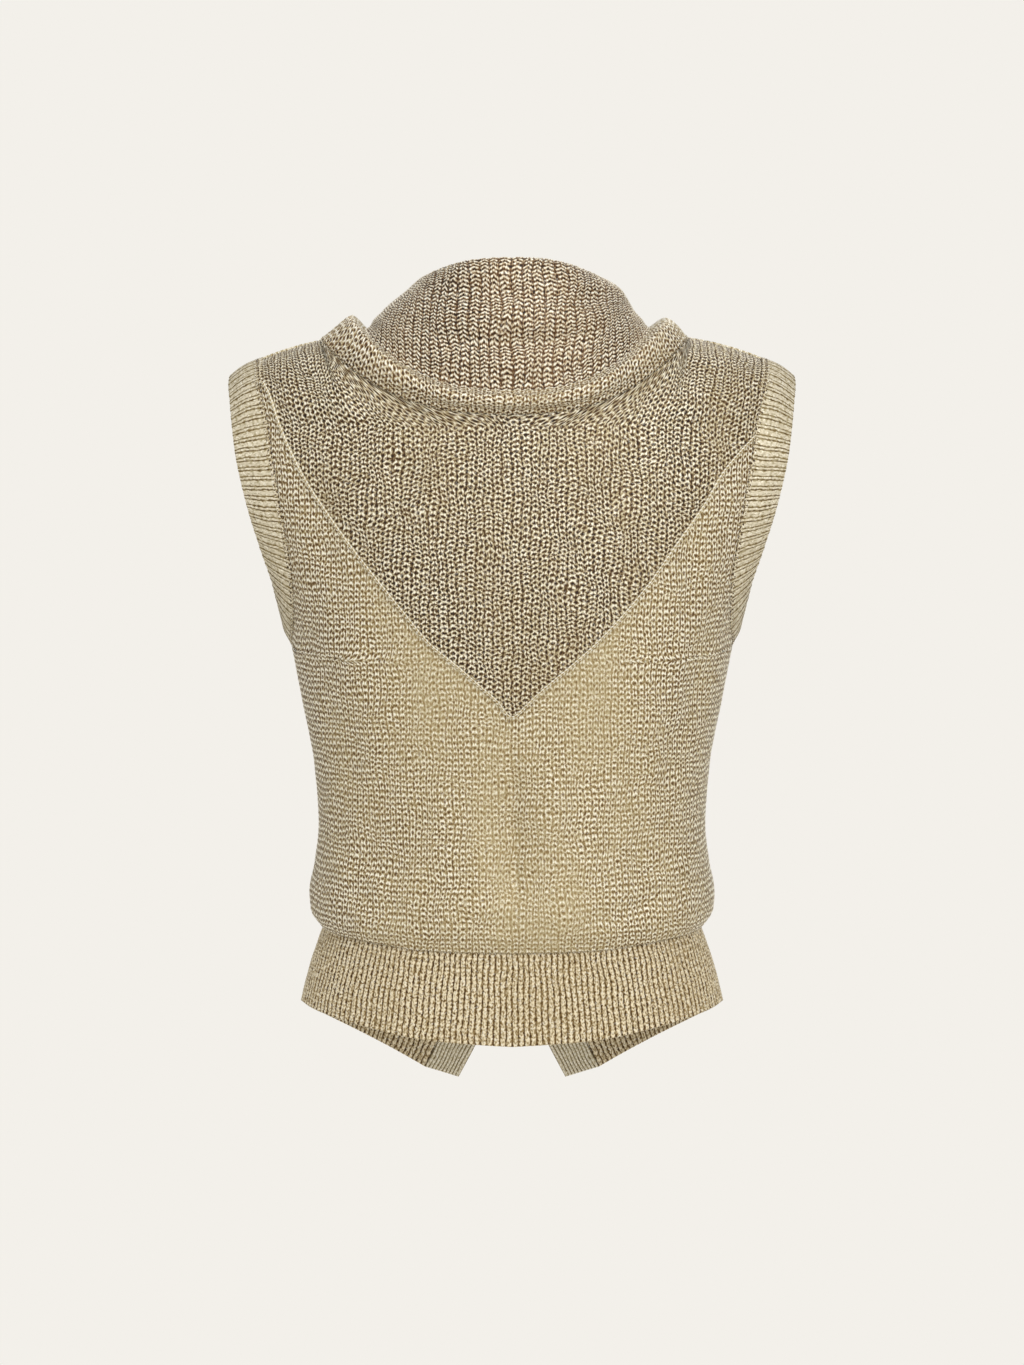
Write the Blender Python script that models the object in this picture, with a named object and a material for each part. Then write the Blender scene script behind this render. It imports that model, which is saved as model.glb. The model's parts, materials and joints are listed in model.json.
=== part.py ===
"""Sweater vest: a sleeveless, open-front knitted waistcoat with a slouched cowl, in its worn, hollow form.

Metres, +Z up.  The back faces -Y, the open front +Y, and the wearer's left is at -X.  The origin lies on the
centre line, level with the shoulder seams and between them: the shoulders hold the garment up.

Every panel is a wall of knit between two grids of points.  The outer grid is worked out from the sections below,
the inner grid lies one wall behind it, and ribs are raised in the outer grid alone.
"""

import math

import bmesh
import bpy
import numpy as np

# ---------------------------------------------------------------- driving dimensions

FINE_WALL = 0.0020
COARSE_WALL = 0.0026
RIB_WALL = 0.0022
SEAM_GAP = 0.0003
RIB_HEIGHT = 0.0007

SHOULDER_TIP_X = 0.187
SHOULDER_LEVEL = -0.0018
SHOULDER_LEVEL_X = 0.140
SHOULDER_SLOPE = 0.18
SHOULDER_CURVE = 2.6

BACK_TOP_ROW = -0.060
FRONT_TOP_ROW = -0.100
UNDERARM = -0.228
ARMHOLE_MIDDLE = -0.1220
ARMHOLE_HALF_HEIGHT = 0.1060
ARMHOLE_HALF_WIDTH = {"back": 0.066, "front": 0.057}

CUFF_MIDDLE = -0.1157
CUFF_HALF_HEIGHT = 0.0874
CUFF_HALF_WIDTH = {"back": 0.0585, "front": 0.0500}
ARMHOLE_RIBS = 136

SIDE_SEAM_BOTTOM = -0.4436
SIDE_HEM = -0.5005
BACK_HEM_RIBS = 97
FRONT_HEM_RIBS = 32

PLACKET_WIDTH = 0.028
PLACKET_RIBS = 6
PLACKET_CORNER_HEIGHT = -0.5855
PLACKET_SLANT = 0.0045
FRONT_BAND_HEIGHT = 0.066

COWL_LIFT = 0.0020
COWL_RIDGE_POWER = 2.6
COWL_FRONT_POWER = 2.0
NECK_SHARE = 0.64

# ---------------------------------------------------------------- tables


class Table:
    """Rows of named columns.  table(column, at) reads a column smoothly between its rows, without overshoot."""

    def __init__(self, columns, *rows):
        self.columns = columns.split()
        self.rows = np.array(sorted(rows), float)

    def column(self, name):
        return self.rows[:, self.columns.index(name)]

    def __call__(self, name, at):
        places, values = self.rows[:, 0], self.column(name)
        step = np.diff(places)
        rise = np.diff(values) / step
        slope = np.zeros(len(values))
        same = rise[:-1] * rise[1:] > 0
        slope[1:-1][same] = 2 * rise[:-1][same] * rise[1:][same] / (rise[:-1] + rise[1:])[same]
        slope[0], slope[-1] = rise[0], rise[-1]
        at = np.clip(at, places[0], places[-1])
        i = np.clip(np.searchsorted(places, at) - 1, 0, len(step) - 1)
        t = (at - places[i]) / step[i]
        return (
            values[i] * (1 + 2 * t) * (1 - t) ** 2
            + slope[i] * step[i] * t * (1 - t) ** 2
            + values[i + 1] * t * t * (3 - 2 * t)
            - slope[i + 1] * step[i] * t * t * (1 - t)
        )


# Level sections of the body: half width at the side seam, how far the back and the front stand out from it,
# and how square the section is (2 is an ellipse).
BODY = Table(
    "height half back front square",
    (-0.060, 0.1900, 0.0925, 0.0780, 2.50),
    (-0.100, 0.1900, 0.1060, 0.0930, 2.50),
    (-0.150, 0.1800, 0.1135, 0.1060, 2.45),
    (-0.200, 0.1690, 0.1155, 0.1150, 2.40),
    (-0.228, 0.1640, 0.1145, 0.1170, 2.35),
    (-0.270, 0.1565, 0.1110, 0.1150, 2.30),
    (-0.316, 0.1483, 0.1065, 0.1090, 2.25),
    (-0.362, 0.1453, 0.1035, 0.1040, 2.25),
    (-0.393, 0.1487, 0.1055, 0.1040, 2.25),
    (-0.415, 0.1528, 0.1090, 0.1050, 2.25),
    (-0.427, 0.1520, 0.1085, 0.1045, 2.25),
    (-0.4436, 0.1428, 0.0985, 0.0985, 2.25),
    (-0.470, 0.1516, 0.1030, 0.0975, 2.20),
    (-0.5005, 0.1600, 0.1090, 0.0965, 2.20),
    (-0.585, 0.1640, 0.1120, 0.0900, 2.20),
)

# Where the armhole seam stands across the body, and the free edge of the armhole rib beyond it.
ARMHOLE = Table(
    "height seam edge",
    (-0.228, 0.1640, 0.1730),
    (-0.203, 0.1595, 0.1725),
    (-0.180, 0.1590, 0.1752),
    (-0.150, 0.1620, 0.1833),
    (-0.121, 0.1667, 0.1915),
    (-0.083, 0.1728, 0.2000),
    (-0.046, 0.1790, 0.2053),
    (-0.0280, 0.1830, 0.2080),
    (-0.016, 0.1870, 0.2080),
)

# The linked edge of the coarse yoke across the back, from the wearer's left armhole to the right one.
YOKE_EDGE = Table(
    "across height",
    (-0.1800, -0.0340),
    (-0.1741, -0.0436),
    (-0.1678, -0.0585),
    (-0.1609, -0.0744),
    (-0.1474, -0.0994),
    (-0.1327, -0.1209),
    (-0.1147, -0.1452),
    (-0.0974, -0.1669),
    (-0.0796, -0.1885),
    (-0.0576, -0.2145),
    (-0.0391, -0.2295),
    (-0.0256, -0.2415),
    (-0.0114, -0.2540),
    (0.0000, -0.2665),
    (0.0093, -0.2589),
    (0.0199, -0.2485),
    (0.0405, -0.2308),
    (0.0618, -0.2117),
    (0.0968, -0.1726),
    (0.1161, -0.1453),
    (0.1371, -0.1168),
    (0.1511, -0.0940),
    (0.1639, -0.0800),
    (0.1740, -0.0700),
)

# How high the back's hem band hangs, its hem and its seam, from the centre back to the side seam.
BACK_HEM = Table(
    "share hem seam",
    (0.00, -0.5085, -0.4412),
    (0.30, -0.5050, -0.4408),
    (0.50, -0.4999, -0.4387),
    (0.70, -0.4962, -0.4376),
    (0.85, -0.4955, -0.4386),
    (1.00, SIDE_HEM, SIDE_SEAM_BOTTOM),
)

# How far each front edge stands from the centre line.
FRONT_EDGE = Table(
    "height edge",
    (-0.5855, 0.0425),
    (-0.560, 0.0288),
    (-0.535, 0.0166),
    (-0.521, 0.0099),
    (-0.500, 0.0056),
    (-0.470, 0.0042),
    (-0.440, 0.0040),
    (0.000, 0.0040),
)

# The cowl's rings, from the seam on the yoke, round the roll, up the slouched funnel and over its rim.
# Each gives its reach and height at the centre back, at the two shoulders and at the centre front,
# the half gap at the front, and how round it runs at the back (1 is an ellipse, less is squarer).
COWL = Table(
    "ring back_y back_z left_x left_z right_x right_z front_y front_z gap round",
    (0, 0.0905, -0.0520, 0.1395, -0.0018, 0.1283, 0.0000, 0.0885, -0.0950, 0.0040, 0.66),
    (1, 0.0932, -0.0492, 0.1378, 0.0008, 0.1268, 0.0022, 0.0905, -0.0922, 0.0042, 0.66),
    (2, 0.0970, -0.0475, 0.1350, 0.0032, 0.1250, 0.0046, 0.0940, -0.0908, 0.0045, 0.66),
    (3, 0.1018, -0.0465, 0.1315, 0.0060, 0.1228, 0.0073, 0.0985, -0.0900, 0.0050, 0.66),
    (4, 0.1055, -0.0450, 0.1275, 0.0094, 0.1200, 0.0100, 0.1025, -0.0878, 0.0055, 0.66),
    (5, 0.1072, -0.0415, 0.1228, 0.0132, 0.1168, 0.0128, 0.1042, -0.0835, 0.0062, 0.66),
    (6, 0.1052, -0.0380, 0.1180, 0.0160, 0.1128, 0.0142, 0.1025, -0.0795, 0.0070, 0.67),
    (7, 0.1008, -0.0372, 0.1135, 0.0118, 0.1072, 0.0110, 0.0985, -0.0775, 0.0076, 0.68),
    (8, 0.0970, -0.0350, 0.1075, 0.0062, 0.1012, 0.0072, 0.0955, -0.0730, 0.0082, 0.72),
    (9, 0.0950, -0.0270, 0.1038, 0.0085, 0.0980, 0.0095, 0.0938, -0.0640, 0.0092, 0.75),
    (10, 0.0950, -0.0165, 0.1018, 0.0120, 0.0958, 0.0125, 0.0940, -0.0530, 0.0105, 0.78),
    (11, 0.0925, -0.0060, 0.0990, 0.0152, 0.0932, 0.0152, 0.0915, -0.0430, 0.0118, 0.80),
    (12, 0.0890, -0.0010, 0.0962, 0.0178, 0.0910, 0.0175, 0.0880, -0.0385, 0.0124, 0.82),
    (13, 0.0895, 0.0040, 0.0938, 0.0205, 0.0890, 0.0205, 0.0880, -0.0335, 0.0132, 0.84),
    (14, 0.0890, 0.0130, 0.0895, 0.0245, 0.0872, 0.0245, 0.0875, -0.0245, 0.0145, 0.86),
    (15, 0.0860, 0.0265, 0.0825, 0.0300, 0.0846, 0.0295, 0.0838, -0.0120, 0.0165, 0.90),
    (16, 0.0815, 0.0375, 0.0762, 0.0350, 0.0805, 0.0345, 0.0790, -0.0050, 0.0180, 0.94),
    (17, 0.0795, 0.0460, 0.0715, 0.0395, 0.0745, 0.0390, 0.0778, 0.0010, 0.0190, 0.96),
    (18, 0.0760, 0.0540, 0.0672, 0.0430, 0.0680, 0.0425, 0.0750, 0.0060, 0.0200, 0.98),
    (19, 0.0710, 0.0580, 0.0635, 0.0445, 0.0632, 0.0440, 0.0710, 0.0080, 0.0206, 1.00),
    (20, 0.0665, 0.0560, 0.0612, 0.0415, 0.0605, 0.0415, 0.0670, 0.0060, 0.0210, 1.00),
    (21, 0.0645, 0.0470, 0.0595, 0.0330, 0.0590, 0.0330, 0.0650, -0.0020, 0.0212, 1.00),
)

# The main soft folds: where they lie across a panel, their two ends, their width and how far they stand out.
FOLDS = {
    "back": Table(
        "across high low lean width depth",
        (0.000, -0.285, -0.430, 0.00, 0.017, -0.0045),
        (-0.047, -0.300, -0.430, 0.05, 0.024, 0.0030),
        (0.052, -0.290, -0.430, -0.06, 0.026, 0.0032),
        (-0.100, -0.330, -0.425, 0.12, 0.020, -0.0030),
        (0.104, -0.340, -0.425, -0.12, 0.020, -0.0030),
    ),
    "front": Table(
        "across high low lean width depth",
        (-0.062, -0.280, -0.470, -0.10, 0.020, -0.0035),
        (0.066, -0.290, -0.470, 0.10, 0.020, -0.0035),
        (-0.108, -0.240, -0.430, -0.15, 0.022, 0.0030),
        (0.104, -0.250, -0.430, 0.15, 0.022, 0.0030),
    ),
}

SIDES = {"left": -1, "right": 1}
FACES = {"back": -1, "front": 1}

# ---------------------------------------------------------------- the form under the panels


def evenly(line, count):
    """The line of points again, as count points spaced evenly along it."""
    line = np.asarray(line, float)
    along = np.concatenate([[0], np.cumsum(np.linalg.norm(np.diff(line, axis=0), axis=1))])
    wanted = np.linspace(0, along[-1], count)
    return np.stack([np.interp(wanted, along, axis) for axis in line.T], axis=1)


def length_of(line):
    return float(np.linalg.norm(np.diff(line, axis=0), axis=1).sum())


def fold_depth(face, x, height):
    """How far the soft folds lift the cloth here."""
    total = np.zeros_like(x)
    for across, high, low, lean, width, depth in FOLDS[face].rows:
        middle, half = (high + low) / 2, (high - low) / 2
        fade = max(0.0, 1 - ((height - middle) / half) ** 2) ** 2
        total += depth * fade * np.exp(-(((x - across - lean * (height - middle)) / width) ** 2))
    return total


def armhole_reach(face, height):
    """How far the armhole seam stands from the side, towards the back or the front."""
    t = (height - ARMHOLE_MIDDLE) / ARMHOLE_HALF_HEIGHT
    return ARMHOLE_HALF_WIDTH[face] * math.sqrt(max(0.0, 1 - t * t))


def section(face, side, height, count=97):
    """A level section as evenly spaced points, from the centre line to the side seam or the armhole seam."""
    depth, square = BODY(face, height), BODY("square", height)
    if height > UNDERARM:
        edge_x, edge_y = ARMHOLE("seam", height), armhole_reach(face, height)
        half = edge_x / (1 - (edge_y / depth) ** square) ** (1 / square)
    else:
        half, edge_y = BODY("half", height), 0.0
    last = math.acos((edge_y / depth) ** (square / 2))
    angle = np.linspace(0, last, count)
    x = SIDES[side] * half * np.sin(angle) ** (2 / square)
    y = depth * np.cos(angle) ** (2 / square)
    y += fold_depth(face, x, height) * np.sin(np.pi / 2 * np.minimum(1, (last - angle) / 0.5))
    return evenly(np.stack([x, FACES[face] * y, np.full(count, height)], axis=1), count)


def shoulder_height(x):
    beyond = abs(x) - SHOULDER_LEVEL_X
    return SHOULDER_LEVEL - SHOULDER_SLOPE * beyond - SHOULDER_CURVE * max(0.0, beyond) ** 2


def cowl_ring(side, ring, face, count=49):
    """Half of one ring of the cowl on one side, from the centre back or the centre front to the shoulder."""
    reach = COWL(side + "_x", ring)
    if face == "back":
        angle = np.linspace(0, math.pi / 2, count)
        across, rise, roundness = 0.0, COWL_RIDGE_POWER, COWL("round", ring)
    else:
        across = COWL("gap", ring)
        angle = np.linspace(math.asin(across / reach), math.pi / 2, count)
        rise, roundness = COWL_FRONT_POWER, 0.66 + 0.34 * (ring / 21) ** 2
    low, high = COWL(face + "_z", ring), COWL(side + "_z", ring)
    x = SIDES[side] * reach * np.sin(angle)
    y = FACES[face] * COWL(face + "_y", ring) * np.clip(np.cos(angle), 0, 1) ** roundness
    return evenly(np.stack([x, y, low + (high - low) * np.sin(angle) ** rise], axis=1), count)


def along_neck(face, side, share, ring_length):
    """How far along the cowl seam a share of the panel's width meets it.

    On the fronts a point near the centre line keeps its distance from it, so that a front edge runs straight up.
    """
    if face == "back":
        return ring_length * share / NECK_SHARE
    start, row_length = COWL("gap", 0), length_of(section(face, side, TOP_ROW[face]))
    spare = ring_length + start - NECK_SHARE * row_length
    return np.maximum(0.0, share * row_length - start + spare * (share / NECK_SHARE) ** 3)


def neck_shares(face, side, count):
    """The shares of a panel's width that meet the cowl seam at its own count + 1 points."""
    shares = np.linspace(0, NECK_SHARE, 401)
    ring_length = length_of(cowl_ring(side, 0, face))
    along = along_neck(face, side, shares, ring_length)
    return np.interp(np.linspace(0, ring_length, count + 1), along, shares)


def top_edge(face, side, share):
    """The top of a panel at a share of its width: the cowl seam, then the shoulder seam out to the armhole."""
    base = cowl_ring(side, 0, face)
    if share > NECK_SHARE:
        x = abs(base[-1][0]) + (SHOULDER_TIP_X - abs(base[-1][0])) * (share - NECK_SHARE) / (1 - NECK_SHARE)
        return np.array([SIDES[side] * x, 0, shoulder_height(x)])
    ring_length = length_of(base)
    at = min(1.0, along_neck(face, side, share, ring_length) / ring_length) * (len(base) - 1)
    low = min(int(at), len(base) - 2)
    return base[low] + (base[low + 1] - base[low]) * (at - low)


def neck_normals(face, side, shares):
    """At the cowl seam, the normals halfway between the panel's and the cowl's."""
    found = []
    for share in shares:
        seam = top_edge(face, side, share)
        beside, beyond = (top_edge(face, side, min(max(share + step, 0), NECK_SHARE)) for step in (-0.01, 0.01))
        below = body_point(face, side, share, -0.005)
        ring = cowl_ring(side, 1, face)
        ring_length = length_of(cowl_ring(side, 0, face))
        at = min(1.0, along_neck(face, side, share, ring_length) / ring_length) * (len(ring) - 1)
        above = np.array([np.interp(at, np.arange(len(ring)), axis) for axis in ring.T])
        along = (beyond - beside) * SIDES[side] * -FACES[face]
        pair = [np.cross(along, step) for step in (seam - below, above - seam)]
        total = sum(normal / np.linalg.norm(normal) for normal in pair)
        found.append(total / np.linalg.norm(total))
    return np.array(found)


TOP_ROW = {"back": BACK_TOP_ROW, "front": FRONT_TOP_ROW}


def body_point(face, side, share, height):
    """The cloth's outer surface at a share of the way from the centre line to the side.

    Up to the top row the height is the real one.  From there to a height of 0 the surface rolls over to the
    shoulder seam in a quarter turn.
    """
    top = TOP_ROW[face]
    line = section(face, side, min(height, top))
    at = share * (len(line) - 1)
    low = min(int(at), len(line) - 2)
    point = line[low] + (line[low + 1] - line[low]) * (at - low)
    if height <= top:
        return point
    end = top_edge(face, side, share)
    turn = (height - top) / -top
    share_y, share_z = 1 - math.cos(math.pi / 2 * turn), math.sin(math.pi / 2 * turn)
    return point + (end - point) * np.array([share_z, share_y, share_z])


def share_at(face, side, x, height):
    """The share of the section's width where it stands this far from the centre line."""
    line = section(face, side, min(height, TOP_ROW[face]))
    return float(np.interp(abs(x), np.abs(line[:, 0]), np.linspace(0, 1, len(line))))


# ---------------------------------------------------------------- walls of cloth


def outward_normals(grid, outward, closed=False):
    """Unit normals of a grid of points, all turned to the side where the grid's middle faces outward."""
    if closed:
        ring = np.concatenate([grid[:, -2:-1], grid, grid[:, 1:2]], axis=1)
        across = (ring[:, 2:] - ring[:, :-2]) / 2
    else:
        across = np.gradient(grid, axis=1)
    normals = np.cross(across, np.gradient(grid, axis=0))
    normals /= np.linalg.norm(normals, axis=2, keepdims=True)
    row, column = grid.shape[0] // 2, grid.shape[1] // 2
    return normals if normals[row, column] @ np.asarray(outward, float) > 0 else -normals


def level_at_seams(normals, grid):
    """Where a panel ends at the side or the shoulder seam, on y = 0, its normals face neither back nor front."""
    normals = normals.copy()
    normals[np.abs(grid[..., 1]) < 1e-6, 1] = 0
    return normals / np.linalg.norm(normals, axis=-1, keepdims=True)


def draw_in(grid, columns=True):
    """Moves a grid's edges in by half a seam gap, so that it stays clear of its neighbours."""
    grid = grid.copy()

    def pull(edge, inner):
        along = np.gradient(edge, axis=0)
        along /= np.linalg.norm(along, axis=1, keepdims=True)
        step = inner - edge
        step -= (step * along).sum(axis=1, keepdims=True) * along
        return edge + step / np.linalg.norm(step, axis=1, keepdims=True) * SEAM_GAP / 2

    if columns:
        grid[:, 0], grid[:, -1] = pull(grid[:, 0], grid[:, 1]), pull(grid[:, -1], grid[:, -2])
    grid[0], grid[-1] = pull(grid[0], grid[1]), pull(grid[-1], grid[-2])
    return grid


def wall(name, outer, inner, material, closed=False):
    """A closed wall between two grids of points: a flat grid is laid on the inner points, then extruded."""
    rows, columns = outer.shape[:2]
    mesh = bmesh.new()
    place = mesh.verts.layers.int.new("place")
    made = bmesh.ops.create_grid(mesh, x_segments=columns - 1, y_segments=rows - 1, size=1)
    inner_points, outer_points = inner.reshape(-1, 3), outer.reshape(-1, 3)
    for number, vert in enumerate(made["verts"]):
        vert[place] = number
        vert.co = inner_points[number]
    if closed:
        bmesh.ops.remove_doubles(mesh, verts=mesh.verts[:], dist=1e-6)
    grown = bmesh.ops.extrude_face_region(mesh, geom=mesh.faces[:])
    for vert in grown["geom"]:
        if isinstance(vert, bmesh.types.BMVert):
            vert.co = outer_points[vert[place]]
    bmesh.ops.recalc_face_normals(mesh, faces=mesh.faces[:])
    if mesh.calc_volume(signed=True) < 0:
        bmesh.ops.reverse_faces(mesh, faces=mesh.faces[:])
    data = bpy.data.meshes.new(name)
    mesh.to_mesh(data)
    mesh.free()
    data.materials.append(material)
    data.shade_smooth()
    data.set_sharp_from_angle(angle=math.radians(40))
    made_object = bpy.data.objects.new(name, data)
    bpy.data.collections[COLLECTION].objects.link(made_object)
    return made_object


def panel(name, grid, thickness, material, normals, relief=None):
    """A wall of cloth whose outer side is the grid, with ribs raised on it where relief is given."""
    normals = level_at_seams(normals, grid)
    grid = draw_in(grid)
    outer = grid if relief is None else grid + relief[:, :, None] * normals
    return wall(name, outer, grid - thickness * normals, material)


def ribs(rows, columns, closed=False):
    """Heights that stand up at every other column."""
    height = np.where(np.arange(columns) % 2 == 0, 0.0, RIB_HEIGHT)
    if closed:
        height[-1] = height[0]
    return np.tile(height, (rows, 1))


# ---------------------------------------------------------------- armholes

ARMHOLE_ROWS = (0.074, 0.154, 0.272, 0.420, 0.593, 0.753, 0.889, 1.0)
YOKE_ROWS = (0.0, 0.17, 0.34, 0.5, 0.64, 0.76, 0.87, 1.0)
YOKE_CORNER = {"left": -0.034, "right": -0.070}
SIDE_ROWS = (0.0, 0.07, 0.15, 0.25, 0.36, 0.48, 0.60, 0.72, 0.86, 1.0)


def side_heights():
    """Heights along the side seam, from the hem band to the underarm."""
    return [SIDE_SEAM_BOTTOM + share * (UNDERARM - SIDE_SEAM_BOTTOM) for share in SIDE_ROWS]


def yoke_heights(low):
    return [low + share * (0 - low) for share in YOKE_ROWS]


def armhole_heights(side):
    """Heights up the armhole seam, from the underarm to where the yoke's linked edge meets it."""
    return [UNDERARM + share * (YOKE_CORNER[side] - UNDERARM) for share in (0, *ARMHOLE_ROWS)]


def edge_heights(side):
    """Heights of the panels' points up the armhole seam, from the underarm to the shoulder tip."""
    return [*armhole_heights(side), *yoke_heights(YOKE_CORNER[side])[1:]]


def cuff_line(side, face, count):
    """The free edge of the armhole rib, from the shoulder to the underarm."""
    turn = np.linspace(0, math.pi, 181)
    z = CUFF_MIDDLE + CUFF_HALF_HEIGHT * np.cos(turn)
    y = FACES[face] * CUFF_HALF_WIDTH[face] * np.sin(turn)
    x = SIDES[side] * np.array([ARMHOLE("edge", height) for height in z])
    return evenly(np.stack([x, y, z], axis=1), count)


def share_along(line):
    along = np.concatenate([[0], np.cumsum(np.linalg.norm(np.diff(line, axis=0), axis=1))])
    return along / along[-1]


def armhole_seam(side, face):
    """The seam from the shoulder tip to the underarm, at the panels' own points, and the mitred normal at each."""
    heights = edge_heights(side)[::-1]
    seam = np.array([body_point(face, side, 1.0, height) for height in heights])
    inside = np.array([body_point(face, side, 0.97, height) for height in heights])
    free = cuff_line(side, face, 181)
    shares = share_along(seam)
    edge = np.stack([np.interp(shares, np.linspace(0, 1, 181), axis) for axis in free.T], axis=1)
    along = np.gradient(seam, axis=0)
    sign = SIDES[side] * -FACES[face]
    body_normal = np.cross(along, seam - inside) * sign
    cuff_normal = np.cross(along, edge - seam) * sign
    unit = [v / np.linalg.norm(v, axis=1, keepdims=True) for v in (body_normal, cuff_normal)]
    mitre = unit[0] + unit[1]
    return seam, level_at_seams(mitre, seam)


def mitred(side, face, heights):
    """The mitred normals at these heights of a panel's armhole edge, and NaN below the underarm."""
    _, normals = armhole_seam(side, face)
    known = dict(zip([round(height, 6) for height in edge_heights(side)[::-1]], normals))
    blank = np.full(3, np.nan)
    return np.array([known.get(round(height, 6), blank) for height in heights])


def armhole_band(side, material):
    """A ring of rib round the armhole, narrower at its free edge."""
    seams, frees, normals = [], [], []
    half = ARMHOLE_RIBS + 1
    for face in ("back", "front"):
        seam, mitre = armhole_seam(side, face)
        wanted, shares = np.linspace(0, 1, half), share_along(seam)
        line = np.stack([np.interp(wanted, shares, axis) for axis in seam.T], axis=1)
        turn = np.stack([np.interp(wanted, shares, axis) for axis in mitre.T], axis=1)
        free = cuff_line(side, face, half)
        if face == "front":
            line, turn, free = line[::-1], turn[::-1], free[::-1]
        start = 0 if face == "back" else 1
        seams.append(line[start:])
        frees.append(free[start:])
        normals.append(turn[start:])
    seam, free, mitre = np.concatenate(seams), np.concatenate(frees), np.concatenate(normals)
    mitre = level_at_seams(mitre, seam)
    mitre[-1] = mitre[0]
    grid = np.stack([seam, free])
    face_normals = outward_normals(grid, (0, 0, 1), closed=True)
    if face_normals[0, 0] @ mitre[0] < 0:
        face_normals = -face_normals
    face_normals[0] = mitre
    grid = draw_in(grid, columns=False)
    relief = ribs(2, grid.shape[1], closed=True)[:, :, None]
    wall(
        f"armhole_rib_{side}",
        grid + relief * face_normals,
        grid - RIB_WALL * face_normals,
        material,
        closed=True,
    )


# ---------------------------------------------------------------- back


def yoke_edge_height(side, share):
    """Where the yoke's linked edge crosses this share of the back."""
    height = -0.2
    for _ in range(30):
        x = body_point("back", side, share, height)[0]
        height = (height + YOKE_EDGE("height", x)) / 2
    return height


COWL_BACK_HALF = 9
COWL_FRONT_HALF = 9
SHOULDER_COLUMNS = 4
BACK_COLUMNS = COWL_BACK_HALF + SHOULDER_COLUMNS


def shoulder_shares():
    return np.linspace(NECK_SHARE, 1, SHOULDER_COLUMNS + 1)[1:]


def back_columns():
    """(side, share) of each column across the back, from the wearer's left to the right."""
    shares = np.array([*neck_shares("back", "left", COWL_BACK_HALF), *shoulder_shares()])
    left = [("left", share) for share in shares[:0:-1]]
    return left + [("right", share) for share in shares]


def back_panels(fine, coarse):
    """The back's body and its yoke, which share one line of points and their normals along the linked edge."""
    heights = {side: np.array([*side_heights()[:-1], *armhole_heights(side)]) for side in SIDES}
    edge_row, rows = len(heights["left"]) - 1, len(heights["left"]) + len(YOKE_ROWS) - 1
    grid = np.zeros((rows, 2 * BACK_COLUMNS + 1, 3))
    for column, (side, share) in enumerate(back_columns()):
        low, high = BACK_HEM("seam", share), yoke_edge_height(side, share)
        parts = (heights[side] - heights[side][0]) / (heights[side][-1] - heights[side][0])
        body = low + parts * (high - low)
        if share == 1:
            body, high = heights[side], YOKE_CORNER[side]
        for row, height in enumerate([*body, *yoke_heights(high)[1:]]):
            grid[row, column] = body_point("back", side, share, height)
    normals = outward_normals(grid, (0, -1, 0))
    for column, side in ((0, "left"), (-1, "right")):
        given = mitred(side, "back", [*heights[side], *yoke_heights(YOKE_CORNER[side])[1:]])
        normals[:, column] = np.where(np.isnan(given), normals[:, column], given)
    for column, (side, share) in enumerate(back_columns()):
        if share <= NECK_SHARE:
            normals[-1, column] = neck_normals("back", side, [share])[0]
    body, yoke = slice(0, edge_row + 1), slice(edge_row, rows)
    panel("back_body", grid[body], FINE_WALL, fine, normals[body])
    panel("back_yoke", grid[yoke], COARSE_WALL, coarse, normals[yoke])


def hem_band_back(material):
    columns = 2 * BACK_HEM_RIBS + 1
    half = BACK_HEM_RIBS + 1
    halves = {}
    for side in SIDES:
        seam = section("back", side, SIDE_SEAM_BOTTOM, 193)
        hem = section("back", side, SIDE_HEM, 193)
        shares = np.linspace(0, 1, len(seam))
        seam[:, 2], hem[:, 2] = BACK_HEM("seam", shares), BACK_HEM("hem", shares)
        halves[side] = np.stack([evenly(hem, half), evenly(seam, half)])
    grid = np.concatenate([halves["left"][:, :0:-1], halves["right"]], axis=1)
    panel("hem_rib_back", grid, RIB_WALL, material, outward_normals(grid, (0, -1, 0)), ribs(2, columns))


# ---------------------------------------------------------------- fronts


def front_point(side, x, height):
    """The front's outer surface at a distance from the centre line."""
    return body_point("front", side, share_at("front", side, x, height), height)


def placket_lines(side, count):
    """Two lines of (distance from the centre line, height): the free edge and the seam, from the hem upward."""
    heights = np.linspace(PLACKET_CORNER_HEIGHT, FRONT_TOP_ROW, 241)
    edge = evenly(np.stack([FRONT_EDGE("edge", heights), heights], axis=1), count)
    along = np.gradient(edge, axis=0)
    along /= np.linalg.norm(along, axis=1, keepdims=True)
    across = np.stack([along[:, 1], -along[:, 0]], axis=1)
    seam = edge + PLACKET_WIDTH * across
    seam[0] -= PLACKET_SLANT * along[0]
    return edge, seam


BAND_ROWS = 3
HEM_FALL = 1.16


def band_corners(side):
    """Where the front hem band meets the placket: (distance from the centre line, height) at the hem and above."""
    _, seam = placket_lines(side, 241)
    along = np.concatenate([[0], np.cumsum(np.linalg.norm(np.diff(seam, axis=0), axis=1))])
    top = [np.interp(FRONT_BAND_HEIGHT, along, axis) for axis in seam.T]
    return seam[0], np.array(top)


def front_levels(side):
    """Heights of the front body's points up the placket seam, and the matching ones up the side and armhole."""
    side_rows = np.array([*side_heights(), *edge_heights(side)[1:]])
    parts = (side_rows - side_rows[0]) / (side_rows[-1] - side_rows[0])
    return band_corners(side)[1][1] * (1 - parts), side_rows, parts


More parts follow.
